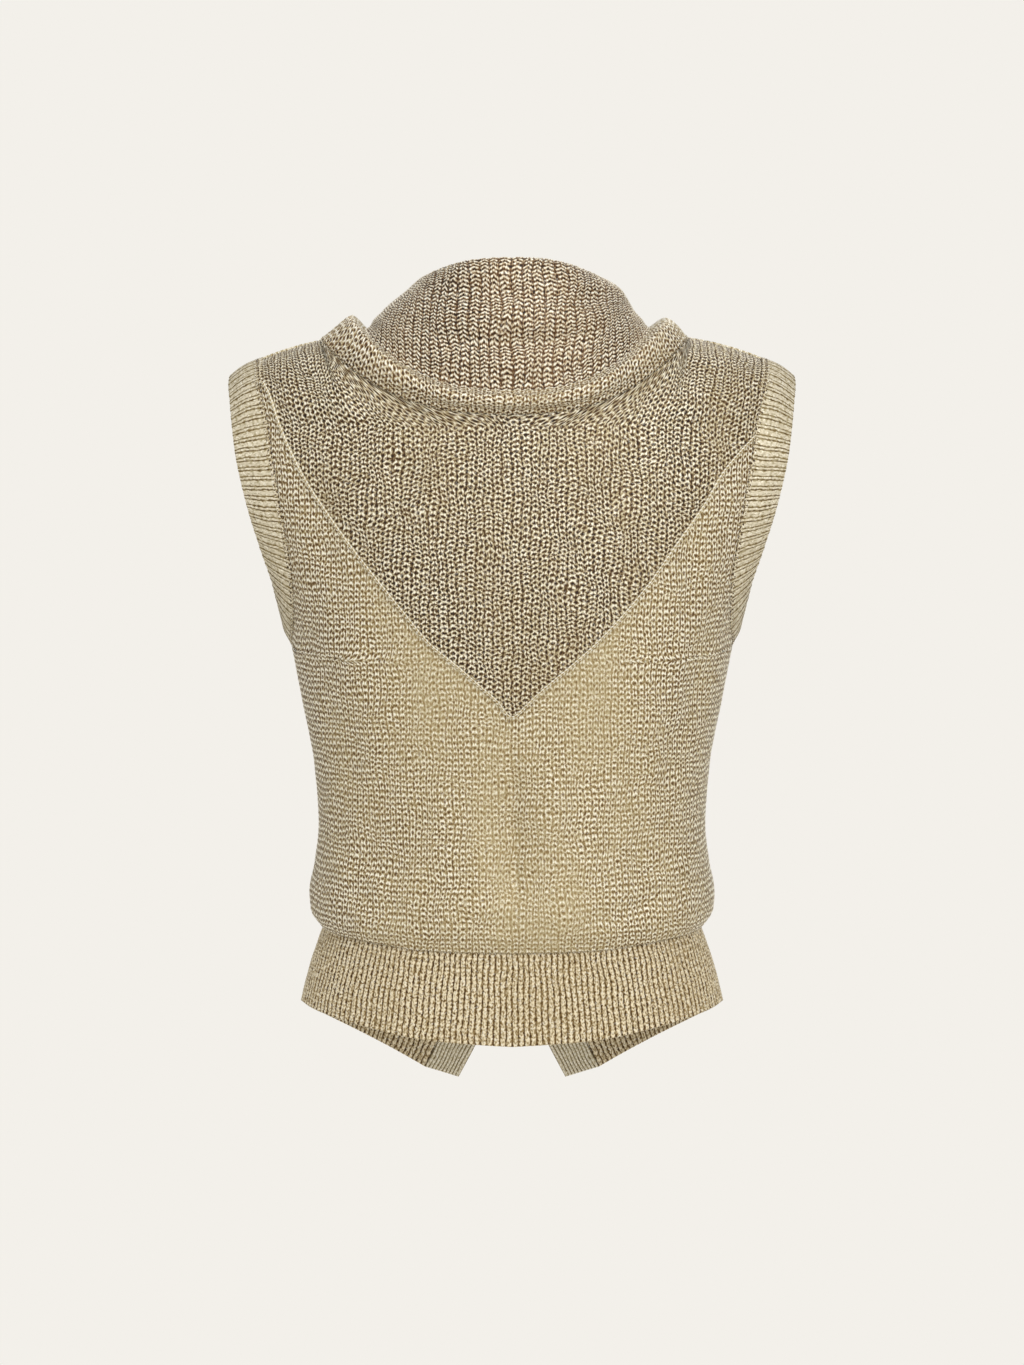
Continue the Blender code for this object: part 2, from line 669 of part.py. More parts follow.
def placket(side, material):
    """The ribbed front edge.  Its rows meet the front body's own points all along the bend near the hem."""
    edge, seam = placket_lines(side, 241)
    levels, _, _ = front_levels(side)
    bend, top = 5, int(np.sum(levels < FRONT_TOP_ROW - 0.03))
    levels = [*np.linspace(seam[0, 1], levels[0], BAND_ROWS + 1)[:-1], *levels[:bend], *levels[bend:top:2], *levels[top:]]
    columns = 2 * PLACKET_RIBS + 1
    grid = np.zeros((len(levels), columns, 3))
    for row, level in enumerate(levels):
        at = np.interp(level, seam[:, 1], np.arange(len(seam)))
        ends = [np.array([np.interp(at, np.arange(len(line)), axis) for axis in line.T]) for line in (edge, seam)]
        for column in range(columns):
            x, height = ends[0] + (ends[1] - ends[0]) * column / (columns - 1)
            grid[row, column] = front_point(side, x, max(height, level) if level > FRONT_TOP_ROW else height)
    normals = outward_normals(grid, (0, 1, 0))
    shares = [share_at("front", side, abs(x), FRONT_TOP_ROW) for x in grid[-1, :, 0]]
    normals[-1] = neck_normals("front", side, shares)
    panel(f"placket_{side}", grid, RIB_WALL, material, normals, ribs(len(grid), columns))


def front_line(side, start, end_height, starts):
    """Shares and heights on a front from the placket seam to the side seam, falling towards the placket."""
    first = share_at("front", side, start[0], start[1])
    return first + (1 - first) * starts, end_height + (start[1] - end_height) * (1 - starts) ** HEM_FALL


def hem_band_front(side, material):
    count = 2 * FRONT_HEM_RIBS + 1
    hem_corner, seam_corner = band_corners(side)
    rows = []
    for corner, end_height in ((hem_corner, SIDE_HEM), (seam_corner, SIDE_SEAM_BOTTOM)):
        shares, heights = front_line(side, corner, end_height, np.linspace(0, 1, count))
        rows.append([body_point("front", side, s, h) for s, h in zip(shares, heights)])
    grid = np.array(rows)
    panel(f"hem_rib_{side}", grid, RIB_WALL, material, outward_normals(grid, (0, 1, 0)), ribs(2, count))


def front_columns(side, first):
    """How far each of a front's columns stands between the placket seam and the side: at the cowl's own points."""
    shares = [*neck_shares("front", side, COWL_FRONT_HALF), *shoulder_shares()]
    kept = [first] + [share for share in shares if share > first + 0.02]
    return (np.array(kept) - first) / (1 - first)


def front_body(side, material):
    _, seam_corner = band_corners(side)
    _, placket_seam = placket_lines(side, 241)
    levels, side_rows, parts = front_levels(side)
    starts = front_columns(side, share_at("front", side, placket_seam[-1][0], 0.0))
    _, lows = front_line(side, seam_corner, SIDE_SEAM_BOTTOM, starts)
    grid = np.zeros((len(parts), len(starts), 3))
    for row, part in enumerate(parts):
        x = np.interp(levels[row], placket_seam[:, 1], placket_seam[:, 0])
        first = share_at("front", side, x, levels[row])
        for column, start in enumerate(starts):
            height = side_rows[row] if start == 1 else lows[column] * (1 - part)
            grid[row, column] = body_point("front", side, first + (1 - first) * start, height)
    normals, given = outward_normals(grid, (0, 1, 0)), mitred(side, "front", side_rows)
    normals[:, -1] = np.where(np.isnan(given), normals[:, -1], given)
    top_shares = first + (1 - first) * starts
    on_neck = top_shares <= NECK_SHARE + 1e-6
    normals[-1, on_neck] = neck_normals("front", side, top_shares[on_neck])
    panel(f"front_{side}", grid, FINE_WALL, material, normals)


# ---------------------------------------------------------------- cowl


def cowl(material):
    """The cowl in one wall, from its seam on the yoke and fronts to the rim, open down the centre front."""
    rows = []
    for ring in COWL.column("ring"):
        line = []
        for side in SIDES:
            back = evenly(cowl_ring(side, ring, "back"), COWL_BACK_HALF + 1)
            front = evenly(cowl_ring(side, ring, "front"), COWL_FRONT_HALF + 1)
            half = np.concatenate([front, back[-2::-1]])
            line.append(half if side == "left" else half[-2::-1])
        rows.append(np.concatenate(line))
    grid = np.array(rows)
    normals = outward_normals(grid, (0, -1, 0))
    seam = []
    for side in SIDES:
        back = neck_normals("back", side, neck_shares("back", side, COWL_BACK_HALF))
        front = neck_normals("front", side, neck_shares("front", side, COWL_FRONT_HALF))
        half = np.concatenate([front, back[-2::-1]])
        seam.append(half if side == "left" else half[-2::-1])
    normals[0] = np.concatenate(seam)
    grid[0, :, 2] += COWL_LIFT * (np.abs(grid[0, :, 0]) / COWL("left_x", 0)) ** 4
    panel("cowl", grid, COARSE_WALL, material, normals)


# ---------------------------------------------------------------- materials and assembly

COLLECTION = "Sweater vest"


def knit(name, colour, roughness, metallic):
    material = bpy.data.materials.new(name)
    material.use_nodes = True
    shader = material.node_tree.nodes["Principled BSDF"]
    shader.inputs["Base Color"].default_value = (*colour, 1)
    shader.inputs["Roughness"].default_value = roughness
    shader.inputs["Metallic"].default_value = metallic
    return material


def clear_scene():
    for thing in list(bpy.data.objects):
        bpy.data.objects.remove(thing)
    group = bpy.data.collections.new(COLLECTION)
    bpy.context.scene.collection.children.link(group)


def main():
    clear_scene()
    fine = knit("Fine metallic knit", (0.50, 0.42, 0.28), 0.55, 0.2)
    coarse = knit("Coarse metallic knit", (0.40, 0.32, 0.21), 0.60, 0.2)
    rib = knit("Metallic rib", (0.46, 0.37, 0.22), 0.55, 0.2)
    back_panels(fine, coarse)
    hem_band_back(rib)
    cowl(coarse)
    for side in SIDES:
        front_body(side, fine)
        placket(side, rib)
        hem_band_front(side, rib)
        armhole_band(side, rib)


main()
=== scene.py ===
# %% [markdown]
# # A sleeveless knitted vest with a slouched cowl
# This lesson dresses the CAD model of a sweater vest: it keeps the vest's measured form and knits every
# panel on it. The real thing is knitted from a gold metallic yarn in several gauges: a fine body, a
# coarse yoke and cowl, and ribs. The knit could be drawn on smooth panels by a material alone, but then
# its edges would be straight and its light flat. So the loops are relief in the mesh here, and the
# material adds the yarn's own tone, fibre and glints.
# We load the frame first. The cloth has to stay within the size of the solids.

import json
import math

import bmesh
import bpy
import numpy as np
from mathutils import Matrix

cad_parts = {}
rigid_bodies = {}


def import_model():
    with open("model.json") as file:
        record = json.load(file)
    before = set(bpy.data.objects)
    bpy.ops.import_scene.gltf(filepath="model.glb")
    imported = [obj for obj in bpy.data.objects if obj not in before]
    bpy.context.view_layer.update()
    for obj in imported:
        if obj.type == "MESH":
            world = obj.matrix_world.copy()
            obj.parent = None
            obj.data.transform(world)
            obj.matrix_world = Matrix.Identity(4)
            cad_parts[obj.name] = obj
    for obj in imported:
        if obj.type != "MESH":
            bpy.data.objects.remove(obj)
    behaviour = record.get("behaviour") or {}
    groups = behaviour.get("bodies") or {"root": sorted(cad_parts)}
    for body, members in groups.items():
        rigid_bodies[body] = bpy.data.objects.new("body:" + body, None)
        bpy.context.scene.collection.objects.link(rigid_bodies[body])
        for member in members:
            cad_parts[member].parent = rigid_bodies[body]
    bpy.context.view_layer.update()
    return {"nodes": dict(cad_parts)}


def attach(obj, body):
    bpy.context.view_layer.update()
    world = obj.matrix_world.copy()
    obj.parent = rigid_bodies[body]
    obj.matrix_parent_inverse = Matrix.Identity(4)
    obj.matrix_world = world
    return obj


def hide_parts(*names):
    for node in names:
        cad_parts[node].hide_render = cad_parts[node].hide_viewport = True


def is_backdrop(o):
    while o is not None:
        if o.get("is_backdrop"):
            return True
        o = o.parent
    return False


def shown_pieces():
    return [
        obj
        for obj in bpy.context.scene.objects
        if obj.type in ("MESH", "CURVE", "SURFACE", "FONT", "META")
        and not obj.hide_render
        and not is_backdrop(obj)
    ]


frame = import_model()
print("CAD nodes:", sorted(frame["nodes"]))

# %% [markdown]
# ## The measured form
# A worn garment is a soft body. It could be sculpted or simulated, but then it would not lie where the
# solids lie. Its form is better told by level sections: at each height, how far the cloth stands out at
# the side, the back and the front. A table of named columns holds them, and a smooth curve runs between
# its rows. These are the same tables that shaped the solids, so the knit lies where the solids are.

# %% A table that reads smoothly


class Table:
    """Rows of named columns.  table(column, at) reads a column smoothly between its rows.

    The curve is a cubic whose slope is limited at each row, so it never overshoots them.
    """

    def __init__(self, columns, *rows):
        self.columns = columns.split()
        self.rows = np.array(sorted(rows), float)

    def column(self, name):
        return self.rows[:, self.columns.index(name)]

    def __call__(self, name, at):
        places, values = self.rows[:, 0], self.column(name)
        step = np.diff(places)
        rise = np.diff(values) / step
        slope = np.zeros(len(values))
        same = rise[:-1] * rise[1:] > 0
        slope[1:-1][same] = 2 * rise[:-1][same] * rise[1:][same] / (rise[:-1] + rise[1:])[same]
        slope[0], slope[-1] = rise[0], rise[-1]
        at = np.clip(at, places[0], places[-1])
        i = np.clip(np.searchsorted(places, at) - 1, 0, len(step) - 1)
        t = (at - places[i]) / step[i]
        return (
            values[i] * (1 + 2 * t) * (1 - t) ** 2
            + slope[i] * step[i] * t * (1 - t) ** 2
            + values[i + 1] * t * t * (3 - 2 * t)
            - slope[i + 1] * step[i] * t * t * (1 - t)
        )


# %% Sections of the body

# Half width at the side seam, how far the back and the front stand out from it, and how square the section
# is (2 is an ellipse).
BODY = Table(
    "height half back front square",
    (-0.060, 0.1900, 0.0925, 0.0780, 2.50),
    (-0.100, 0.1900, 0.1060, 0.0930, 2.50),
    (-0.150, 0.1800, 0.1135, 0.1060, 2.45),
    (-0.200, 0.1690, 0.1155, 0.1150, 2.40),
    (-0.228, 0.1640, 0.1145, 0.1170, 2.35),
    (-0.270, 0.1565, 0.1110, 0.1150, 2.30),
    (-0.316, 0.1483, 0.1065, 0.1090, 2.25),
    (-0.362, 0.1453, 0.1035, 0.1040, 2.25),
    (-0.393, 0.1487, 0.1055, 0.1040, 2.25),
    (-0.415, 0.1528, 0.1090, 0.1050, 2.25),
    (-0.427, 0.1520, 0.1085, 0.1045, 2.25),
    (-0.4436, 0.1428, 0.0985, 0.0985, 2.25),
    (-0.470, 0.1516, 0.1030, 0.0975, 2.20),
    (-0.5005, 0.1600, 0.1090, 0.0965, 2.20),
    (-0.585, 0.1640, 0.1120, 0.0900, 2.20),
)

print("body:", len(BODY.rows), "sections, up to", 2 * BODY.column("half").max(), "m wide")

# %% Armholes

# Where the armhole seam stands across the body, and the free edge of the armhole rib beyond it.
ARMHOLE = Table(
    "height seam edge",
    (-0.228, 0.1640, 0.1730),
    (-0.203, 0.1595, 0.1725),
    (-0.180, 0.1590, 0.1752),
    (-0.150, 0.1620, 0.1833),
    (-0.121, 0.1667, 0.1915),
    (-0.083, 0.1728, 0.2000),
    (-0.046, 0.1790, 0.2053),
    (-0.0280, 0.1830, 0.2080),
    (-0.016, 0.1870, 0.2080),
)

print("armhole ribs reach", ARMHOLE.column("edge").max(), "m from the centre line")

# %% Edge of the yoke

# The linked edge of the coarse yoke across the back, from the wearer's left armhole to the right one.
YOKE_EDGE = Table(
    "across height",
    (-0.1800, -0.0340),
    (-0.1741, -0.0436),
    (-0.1678, -0.0585),
    (-0.1609, -0.0744),
    (-0.1474, -0.0994),
    (-0.1327, -0.1209),
    (-0.1147, -0.1452),
    (-0.0974, -0.1669),
    (-0.0796, -0.1885),
    (-0.0576, -0.2145),
    (-0.0391, -0.2295),
    (-0.0256, -0.2415),
    (-0.0114, -0.2540),
    (0.0000, -0.2665),
    (0.0093, -0.2589),
    (0.0199, -0.2485),
    (0.0405, -0.2308),
    (0.0618, -0.2117),
    (0.0968, -0.1726),
    (0.1161, -0.1453),
    (0.1371, -0.1168),
    (0.1511, -0.0940),
    (0.1639, -0.0800),
    (0.1740, -0.0700),
)

print("point of the yoke, m:", YOKE_EDGE.column("height").min())

# %% Hems and front edges

SIDE_SEAM_BOTTOM, SIDE_HEM = -0.4436, -0.5005

# How high the back's hem band hangs, its hem and its seam, from the centre back to the side seam.
BACK_HEM = Table(
    "share hem seam",
    (0.00, -0.5085, -0.4412),
    (0.30, -0.5050, -0.4408),
    (0.50, -0.4999, -0.4387),
    (0.70, -0.4962, -0.4376),
    (0.85, -0.4955, -0.4386),
    (1.00, SIDE_HEM, SIDE_SEAM_BOTTOM),
)

# How far each front edge stands from the centre line.
FRONT_EDGE = Table(
    "height edge",
    (-0.5855, 0.0425),
    (-0.560, 0.0288),
    (-0.535, 0.0166),
    (-0.521, 0.0099),
    (-0.500, 0.0056),
    (-0.470, 0.0042),
    (-0.440, 0.0040),
    (0.000, 0.0040),
)

print("lowest of the back's hem, m:", BACK_HEM.column("hem").min())
print("lowest of the fronts, m:", FRONT_EDGE.column("height").min())

# %% Rings of the cowl

# The cowl's rings, from the seam on the yoke, round the roll, up the slouched funnel and over its rim.
# Each gives its reach and height at the centre back, at the two shoulders and at the centre front,
# the half gap at the front, and how round it runs at the back (1 is an ellipse, less is squarer).
COWL = Table(
    "ring back_y back_z left_x left_z right_x right_z front_y front_z gap round",
    (0, 0.0905, -0.0520, 0.1395, -0.0018, 0.1283, 0.0000, 0.0885, -0.0950, 0.0040, 0.66),
    (1, 0.0932, -0.0492, 0.1378, 0.0008, 0.1268, 0.0022, 0.0905, -0.0922, 0.0042, 0.66),
    (2, 0.0970, -0.0475, 0.1350, 0.0032, 0.1250, 0.0046, 0.0940, -0.0908, 0.0045, 0.66),
    (3, 0.1018, -0.0465, 0.1315, 0.0060, 0.1228, 0.0073, 0.0985, -0.0900, 0.0050, 0.66),
    (4, 0.1055, -0.0450, 0.1275, 0.0094, 0.1200, 0.0100, 0.1025, -0.0878, 0.0055, 0.66),
    (5, 0.1072, -0.0415, 0.1228, 0.0132, 0.1168, 0.0128, 0.1042, -0.0835, 0.0062, 0.66),
    (6, 0.1052, -0.0380, 0.1180, 0.0160, 0.1128, 0.0142, 0.1025, -0.0795, 0.0070, 0.67),
    (7, 0.1008, -0.0372, 0.1135, 0.0118, 0.1072, 0.0110, 0.0985, -0.0775, 0.0076, 0.68),
    (8, 0.0970, -0.0350, 0.1075, 0.0062, 0.1012, 0.0072, 0.0955, -0.0730, 0.0082, 0.72),
    (9, 0.0950, -0.0270, 0.1038, 0.0085, 0.0980, 0.0095, 0.0938, -0.0640, 0.0092, 0.75),
    (10, 0.0950, -0.0165, 0.1018, 0.0120, 0.0958, 0.0125, 0.0940, -0.0530, 0.0105, 0.78),
    (11, 0.0925, -0.0060, 0.0990, 0.0152, 0.0932, 0.0152, 0.0915, -0.0430, 0.0118, 0.80),
    (12, 0.0890, -0.0010, 0.0962, 0.0178, 0.0910, 0.0175, 0.0880, -0.0385, 0.0124, 0.82),
    (13, 0.0895, 0.0040, 0.0938, 0.0205, 0.0890, 0.0205, 0.0880, -0.0335, 0.0132, 0.84),
    (14, 0.0890, 0.0130, 0.0895, 0.0245, 0.0872, 0.0245, 0.0875, -0.0245, 0.0145, 0.86),
    (15, 0.0860, 0.0265, 0.0825, 0.0300, 0.0846, 0.0295, 0.0838, -0.0120, 0.0165, 0.90),
    (16, 0.0815, 0.0375, 0.0762, 0.0350, 0.0805, 0.0345, 0.0790, -0.0050, 0.0180, 0.94),
    (17, 0.0795, 0.0460, 0.0715, 0.0395, 0.0745, 0.0390, 0.0778, 0.0010, 0.0190, 0.96),
    (18, 0.0760, 0.0540, 0.0672, 0.0430, 0.0680, 0.0425, 0.0750, 0.0060, 0.0200, 0.98),
    (19, 0.0710, 0.0580, 0.0635, 0.0445, 0.0632, 0.0440, 0.0710, 0.0080, 0.0206, 1.00),
    (20, 0.0665, 0.0560, 0.0612, 0.0415, 0.0605, 0.0415, 0.0670, 0.0060, 0.0210, 1.00),
    (21, 0.0645, 0.0470, 0.0595, 0.0330, 0.0590, 0.0330, 0.0650, -0.0020, 0.0212, 1.00),
)

LAST_RING = int(COWL.column("ring").max())
print("cowl:", LAST_RING + 1, "rings, the highest at", COWL.column("back_z").max(), "m")

# %% Soft folds

# The main soft folds: where they lie across a panel, their two ends, their width and how far they stand out.
FOLDS = {
    "back": Table(
        "across high low lean width depth",
        (0.000, -0.285, -0.430, 0.00, 0.017, -0.0045),
        (-0.047, -0.300, -0.430, 0.05, 0.024, 0.0030),
        (0.052, -0.290, -0.430, -0.06, 0.026, 0.0032),
        (-0.100, -0.330, -0.425, 0.12, 0.020, -0.0030),
        (0.104, -0.340, -0.425, -0.12, 0.020, -0.0030),
    ),
    "front": Table(
        "across high low lean width depth",
        (-0.062, -0.280, -0.470, -0.10, 0.020, -0.0035),
        (0.066, -0.290, -0.470, 0.10, 0.020, -0.0035),
        (-0.108, -0.240, -0.430, -0.15, 0.022, 0.0030),
        (0.104, -0.250, -0.430, 0.15, 0.022, 0.0030),
    ),
}

print("soft folds:", {face: len(folds.rows) for face, folds in FOLDS.items()})

# %% [markdown]
# ## Level sections
# Each section runs from the centre line to the side seam or, above the underarm, to the armhole seam. It
# could be drawn point by point, but a quarter of a superellipse, the curve between an ellipse and a
# rectangle, needs only its width, its depth and one number for how square a worn chest is.

# %% Sections
SIDES = {"left": -1, "right": 1}
FACES = {"back": -1, "front": 1}
TOP_ROW = {"back": -0.060, "front": -0.100}
UNDERARM = -0.228
ARMHOLE_MIDDLE, ARMHOLE_HALF_HEIGHT = -0.1220, 0.1060
ARMHOLE_HALF_WIDTH = {"back": 0.066, "front": 0.057}
# how much of a section's angle, in radians, the soft folds fade out over towards the seam
FOLD_FADE = 0.5


def evenly(line, count):
    """The line of points again, as count points spaced evenly along it."""
    line = np.asarray(line, float)
    along = np.concatenate([[0], np.cumsum(np.linalg.norm(np.diff(line, axis=0), axis=1))])
    wanted = np.linspace(0, along[-1], count)
    return np.stack([np.interp(wanted, along, axis) for axis in line.T], axis=1)


def length_of(line):
    return float(np.linalg.norm(np.diff(line, axis=0), axis=1).sum())


def fold_depth(face, x, height):
    """How far the soft folds lift the cloth here."""
    total = np.zeros_like(x)
    for across, high, low, lean, width, depth in FOLDS[face].rows:
        middle, half = (high + low) / 2, (high - low) / 2
        fade = max(0.0, 1 - ((height - middle) / half) ** 2) ** 2
        total += depth * fade * np.exp(-(((x - across - lean * (height - middle)) / width) ** 2))
    return total


def armhole_reach(face, height):
    """How far the armhole seam stands from the side, towards the back or the front."""
    t = (height - ARMHOLE_MIDDLE) / ARMHOLE_HALF_HEIGHT
    return ARMHOLE_HALF_WIDTH[face] * math.sqrt(max(0.0, 1 - t * t))


def section(face, side, height, count=97):
    """A level section as evenly spaced points, from the centre line to the side seam or the armhole seam."""
    depth, square = BODY(face, height), BODY("square", height)
    if height > UNDERARM:
        edge_x, edge_y = ARMHOLE("seam", height), armhole_reach(face, height)
        half = edge_x / (1 - (edge_y / depth) ** square) ** (1 / square)
    else:
        half, edge_y = BODY("half", height), 0.0
    last = math.acos((edge_y / depth) ** (square / 2))
    angle = np.linspace(0, last, count)
    x = SIDES[side] * half * np.sin(angle) ** (2 / square)
    y = depth * np.cos(angle) ** (2 / square)
    y += fold_depth(face, x, height) * np.sin(np.pi / 2 * np.minimum(1, (last - angle) / FOLD_FADE))
    return evenly(np.stack([x, FACES[face] * y, np.full(count, height)], axis=1), count)


WAIST = -0.362
round_waist = 2 * sum(length_of(section(face, "right", WAIST)) for face in FACES)
print("once round the waist, m:", round(round_waist, 3))

# %% [markdown]
# ## The cowl and the shoulders
# The cowl is a tall tube that has slouched on the shoulders. A cloth simulation could let it fall, but
# not into the shape that the photograph shows. So rings describe it from its seam, round the roll that
# falls over the yoke, up the funnel and over the rim. The panels' top edges then follow its first ring,
# and run on along the shoulder seam to the armhole.

# %% Rings and top edges

SHOULDER_TIP_X, SHOULDER_LEVEL, SHOULDER_LEVEL_X = 0.187, -0.0018, 0.140
SHOULDER_SLOPE, SHOULDER_CURVE = 0.18, 2.6
COWL_LIFT, COWL_RIDGE_POWER, COWL_FRONT_POWER, NECK_SHARE = 0.0020, 2.6, 2.0, 0.64
# how round the rings run at the front: near the seam, and how much rounder at the rim
FRONT_ROUND, RIM_ROUNDER = 0.66, 0.34


def shoulder_height(x):
    beyond = abs(x) - SHOULDER_LEVEL_X
    return SHOULDER_LEVEL - SHOULDER_SLOPE * beyond - SHOULDER_CURVE * max(0.0, beyond) ** 2


def cowl_ring(side, ring, face, count=49):
    """Half of one ring of the cowl on one side, from the centre back or the centre front to the shoulder."""
    reach = COWL(side + "_x", ring)
    if face == "back":
        angle = np.linspace(0, math.pi / 2, count)
        across, rise, roundness = 0.0, COWL_RIDGE_POWER, COWL("round", ring)
    else:
        across = COWL("gap", ring)
        angle = np.linspace(math.asin(across / reach), math.pi / 2, count)
        rise, roundness = COWL_FRONT_POWER, FRONT_ROUND + RIM_ROUNDER * (ring / LAST_RING) ** 2
    low, high = COWL(face + "_z", ring), COWL(side + "_z", ring)
    x = SIDES[side] * reach * np.sin(angle)
    y = FACES[face] * COWL(face + "_y", ring) * np.clip(np.cos(angle), 0, 1) ** roundness
    return evenly(np.stack([x, y, low + (high - low) * np.sin(angle) ** rise], axis=1), count)


def along_neck(face, side, share, ring_length):
    """How far along the cowl seam a share of the panel's width meets it.

    On the fronts a point near the centre line keeps its distance from it, so a front edge runs straight up.
    """
    if face == "back":
        return ring_length * share / NECK_SHARE
    start, row_length = COWL("gap", 0), length_of(section(face, side, TOP_ROW[face]))
    spare = ring_length + start - NECK_SHARE * row_length
    return np.maximum(0.0, share * row_length - start + spare * (share / NECK_SHARE) ** 3)


def top_edge(face, side, share):
    """The top of a panel at a share of its width: the cowl seam, then the shoulder seam to the armhole."""
    base = cowl_ring(side, 0, face)
    if share > NECK_SHARE:
        x = abs(base[-1][0]) + (SHOULDER_TIP_X - abs(base[-1][0])) * (share - NECK_SHARE) / (1 - NECK_SHARE)
        return np.array([SIDES[side] * x, 0, shoulder_height(x)])
    ring_length = length_of(base)
    at = min(1.0, along_neck(face, side, share, ring_length) / ring_length) * (len(base) - 1)
    low = min(int(at), len(base) - 2)
    return base[low] + (base[low + 1] - base[low]) * (at - low)


round_neck = sum(length_of(cowl_ring(side, 0, face)) for side in SIDES for face in FACES)
print("once round the neck seam, m:", round(round_neck, 3))

# %% [markdown]
# ## A form that cloth can be laid on
# To knit on a surface we need a point and the direction straight out of the cloth at any place on it. A
# flat net could be shrink-wrapped on the solids, but their facets would show through the knit. A Form
# keeps points and directions on a fine grid instead: its columns run across the piece, as shares from -1
# to 1, and its rows run up it, in metres along the cloth. Anything between its points is read smoothly,
# so every stitch finds its own place.

# %% Form


def blend(grid, row, column):
    """The grid's values at these rows and columns, mixed evenly from the four points around each."""
    r = np.clip(row.astype(int), 0, grid.shape[0] - 2)
    c = np.clip(column.astype(int), 0, grid.shape[1] - 2)
    down, along = (row - r)[..., None], (column - c)[..., None]
    low = grid[r, c] * (1 - along) + grid[r, c + 1] * along
    high = grid[r + 1, c] * (1 - along) + grid[r + 1, c + 1] * along
    return low * (1 - down) + high * down


class Form:
    """A smooth surface known on a fine grid.  outward is the way its cloth faces at its middle column.

    Its metres up are counted over the middle columns, as many of them as this share of each half.
    """

    def __init__(self, points, outward, levels=None, closed=False, at=None, counted=5 / 6):
        self.points, self.levels, self.closed = points, levels, closed
        # rows that end earlier slide sideways, so the rise is measured square to the row
        along, move = np.gradient(points, axis=1)[:-1], np.diff(points, axis=0)
        along /= np.maximum(np.linalg.norm(along, axis=2, keepdims=True), 1e-9)
        steps = np.linalg.norm(move - (move * along).sum(axis=2, keepdims=True) * along, axis=2)
        columns = points.shape[1]
        kept = steps[:, int(columns * (1 - counted) / 2) : int(columns * (1 + counted) / 2)]
        self.up = np.concatenate([[0], np.cumsum(kept.mean(axis=1))])
        rise = np.concatenate([np.zeros((1, columns)), np.cumsum(steps, axis=0)])
        self.metres = np.linspace(0, rise.max(), 4 * len(points))
        self.own = np.stack([np.interp(self.metres, column, self.up) for column in rise.T], axis=1)
        self.outward, self.look_at = outward, columns // 2 if at is None else at
        self.face()

    def face(self):
        points = self.points
        if self.closed:
            points = np.concatenate([points[:, -2:-1], points, points[:, 1:2]], axis=1)
        across, along = np.gradient(points, axis=1), np.gradient(points, axis=0)
        normals = np.cross(across, along)
        if self.closed:
            normals = normals[:, 1:-1]
        normals /= np.maximum(np.linalg.norm(normals, axis=2, keepdims=True), 1e-12)
        middle = normals[len(normals) // 2, self.look_at]
        self.normals = normals if middle @ np.asarray(self.outward, float) > 0 else -normals
        half = self.points.shape[1] // 2
        steps = np.linalg.norm(np.diff(self.points, axis=1), axis=2)
        self.widths = np.stack([steps[:, :half].sum(axis=1), steps[:, half:].sum(axis=1)])

    def level_to_up(self, level):
        return np.interp(level, self.levels, self.up)

    def up_to_level(self, up):
        return np.interp(up, self.up, self.levels)

    def width(self, up, share):
        """The length of the row here, from its middle to the end on this side."""
        left, right = (np.interp(up, self.up, width) for width in self.widths)
        return np.where(share < 0, left, right)

    def measured(self, share, along):
        """Turns metres along the cloth itself, at these shares across, to the form's own metres up."""
        row = np.interp(along, self.metres, np.arange(len(self.metres)))
        column = (np.clip(share, -1, 1) + 1) / 2 * (self.points.shape[1] - 1)
        return blend(self.own[..., None], row, column)[..., 0]

    def at(self, share, up):
        """Points and normals at these shares across and metres up."""
        row = np.interp(up, self.up, np.arange(len(self.up)))
        column = (np.clip(share, -1, 1) + 1) / 2 * (self.points.shape[1] - 1)
        normals = blend(self.normals, row, column)
        return blend(self.points, row, column), normals / np.linalg.norm(normals, axis=-1, keepdims=True)


# %% Unevenness


def unevenness(u, v, reach, seed):
    """Smooth seeded unevenness of about -1 to 1, in patches about this many metres wide.

    It is a sum of seven waves, each with a direction, a phase and a length of its own.
    """
    rng, total = np.random.default_rng(seed), 0
    for _ in range(7):
        turn = rng.uniform(0, 2 * math.pi)
        phase = rng.uniform(0, 2 * math.pi)
        wave = reach * rng.uniform(0.7, 1.6)
        total = total + np.sin(2 * math.pi / wave * (math.cos(turn) * u + math.sin(turn) * v) + phase)
    return total / 2.6


flat_side = np.linspace(0, 0.1, 9)
flat_square = np.stack([*np.meshgrid(flat_side, flat_side), np.zeros((9, 9))], axis=-1)
print("a flat form of 0.1 m measures", round(float(Form(flat_square, (0, 0, 1)).up[-1]), 3), "m up")
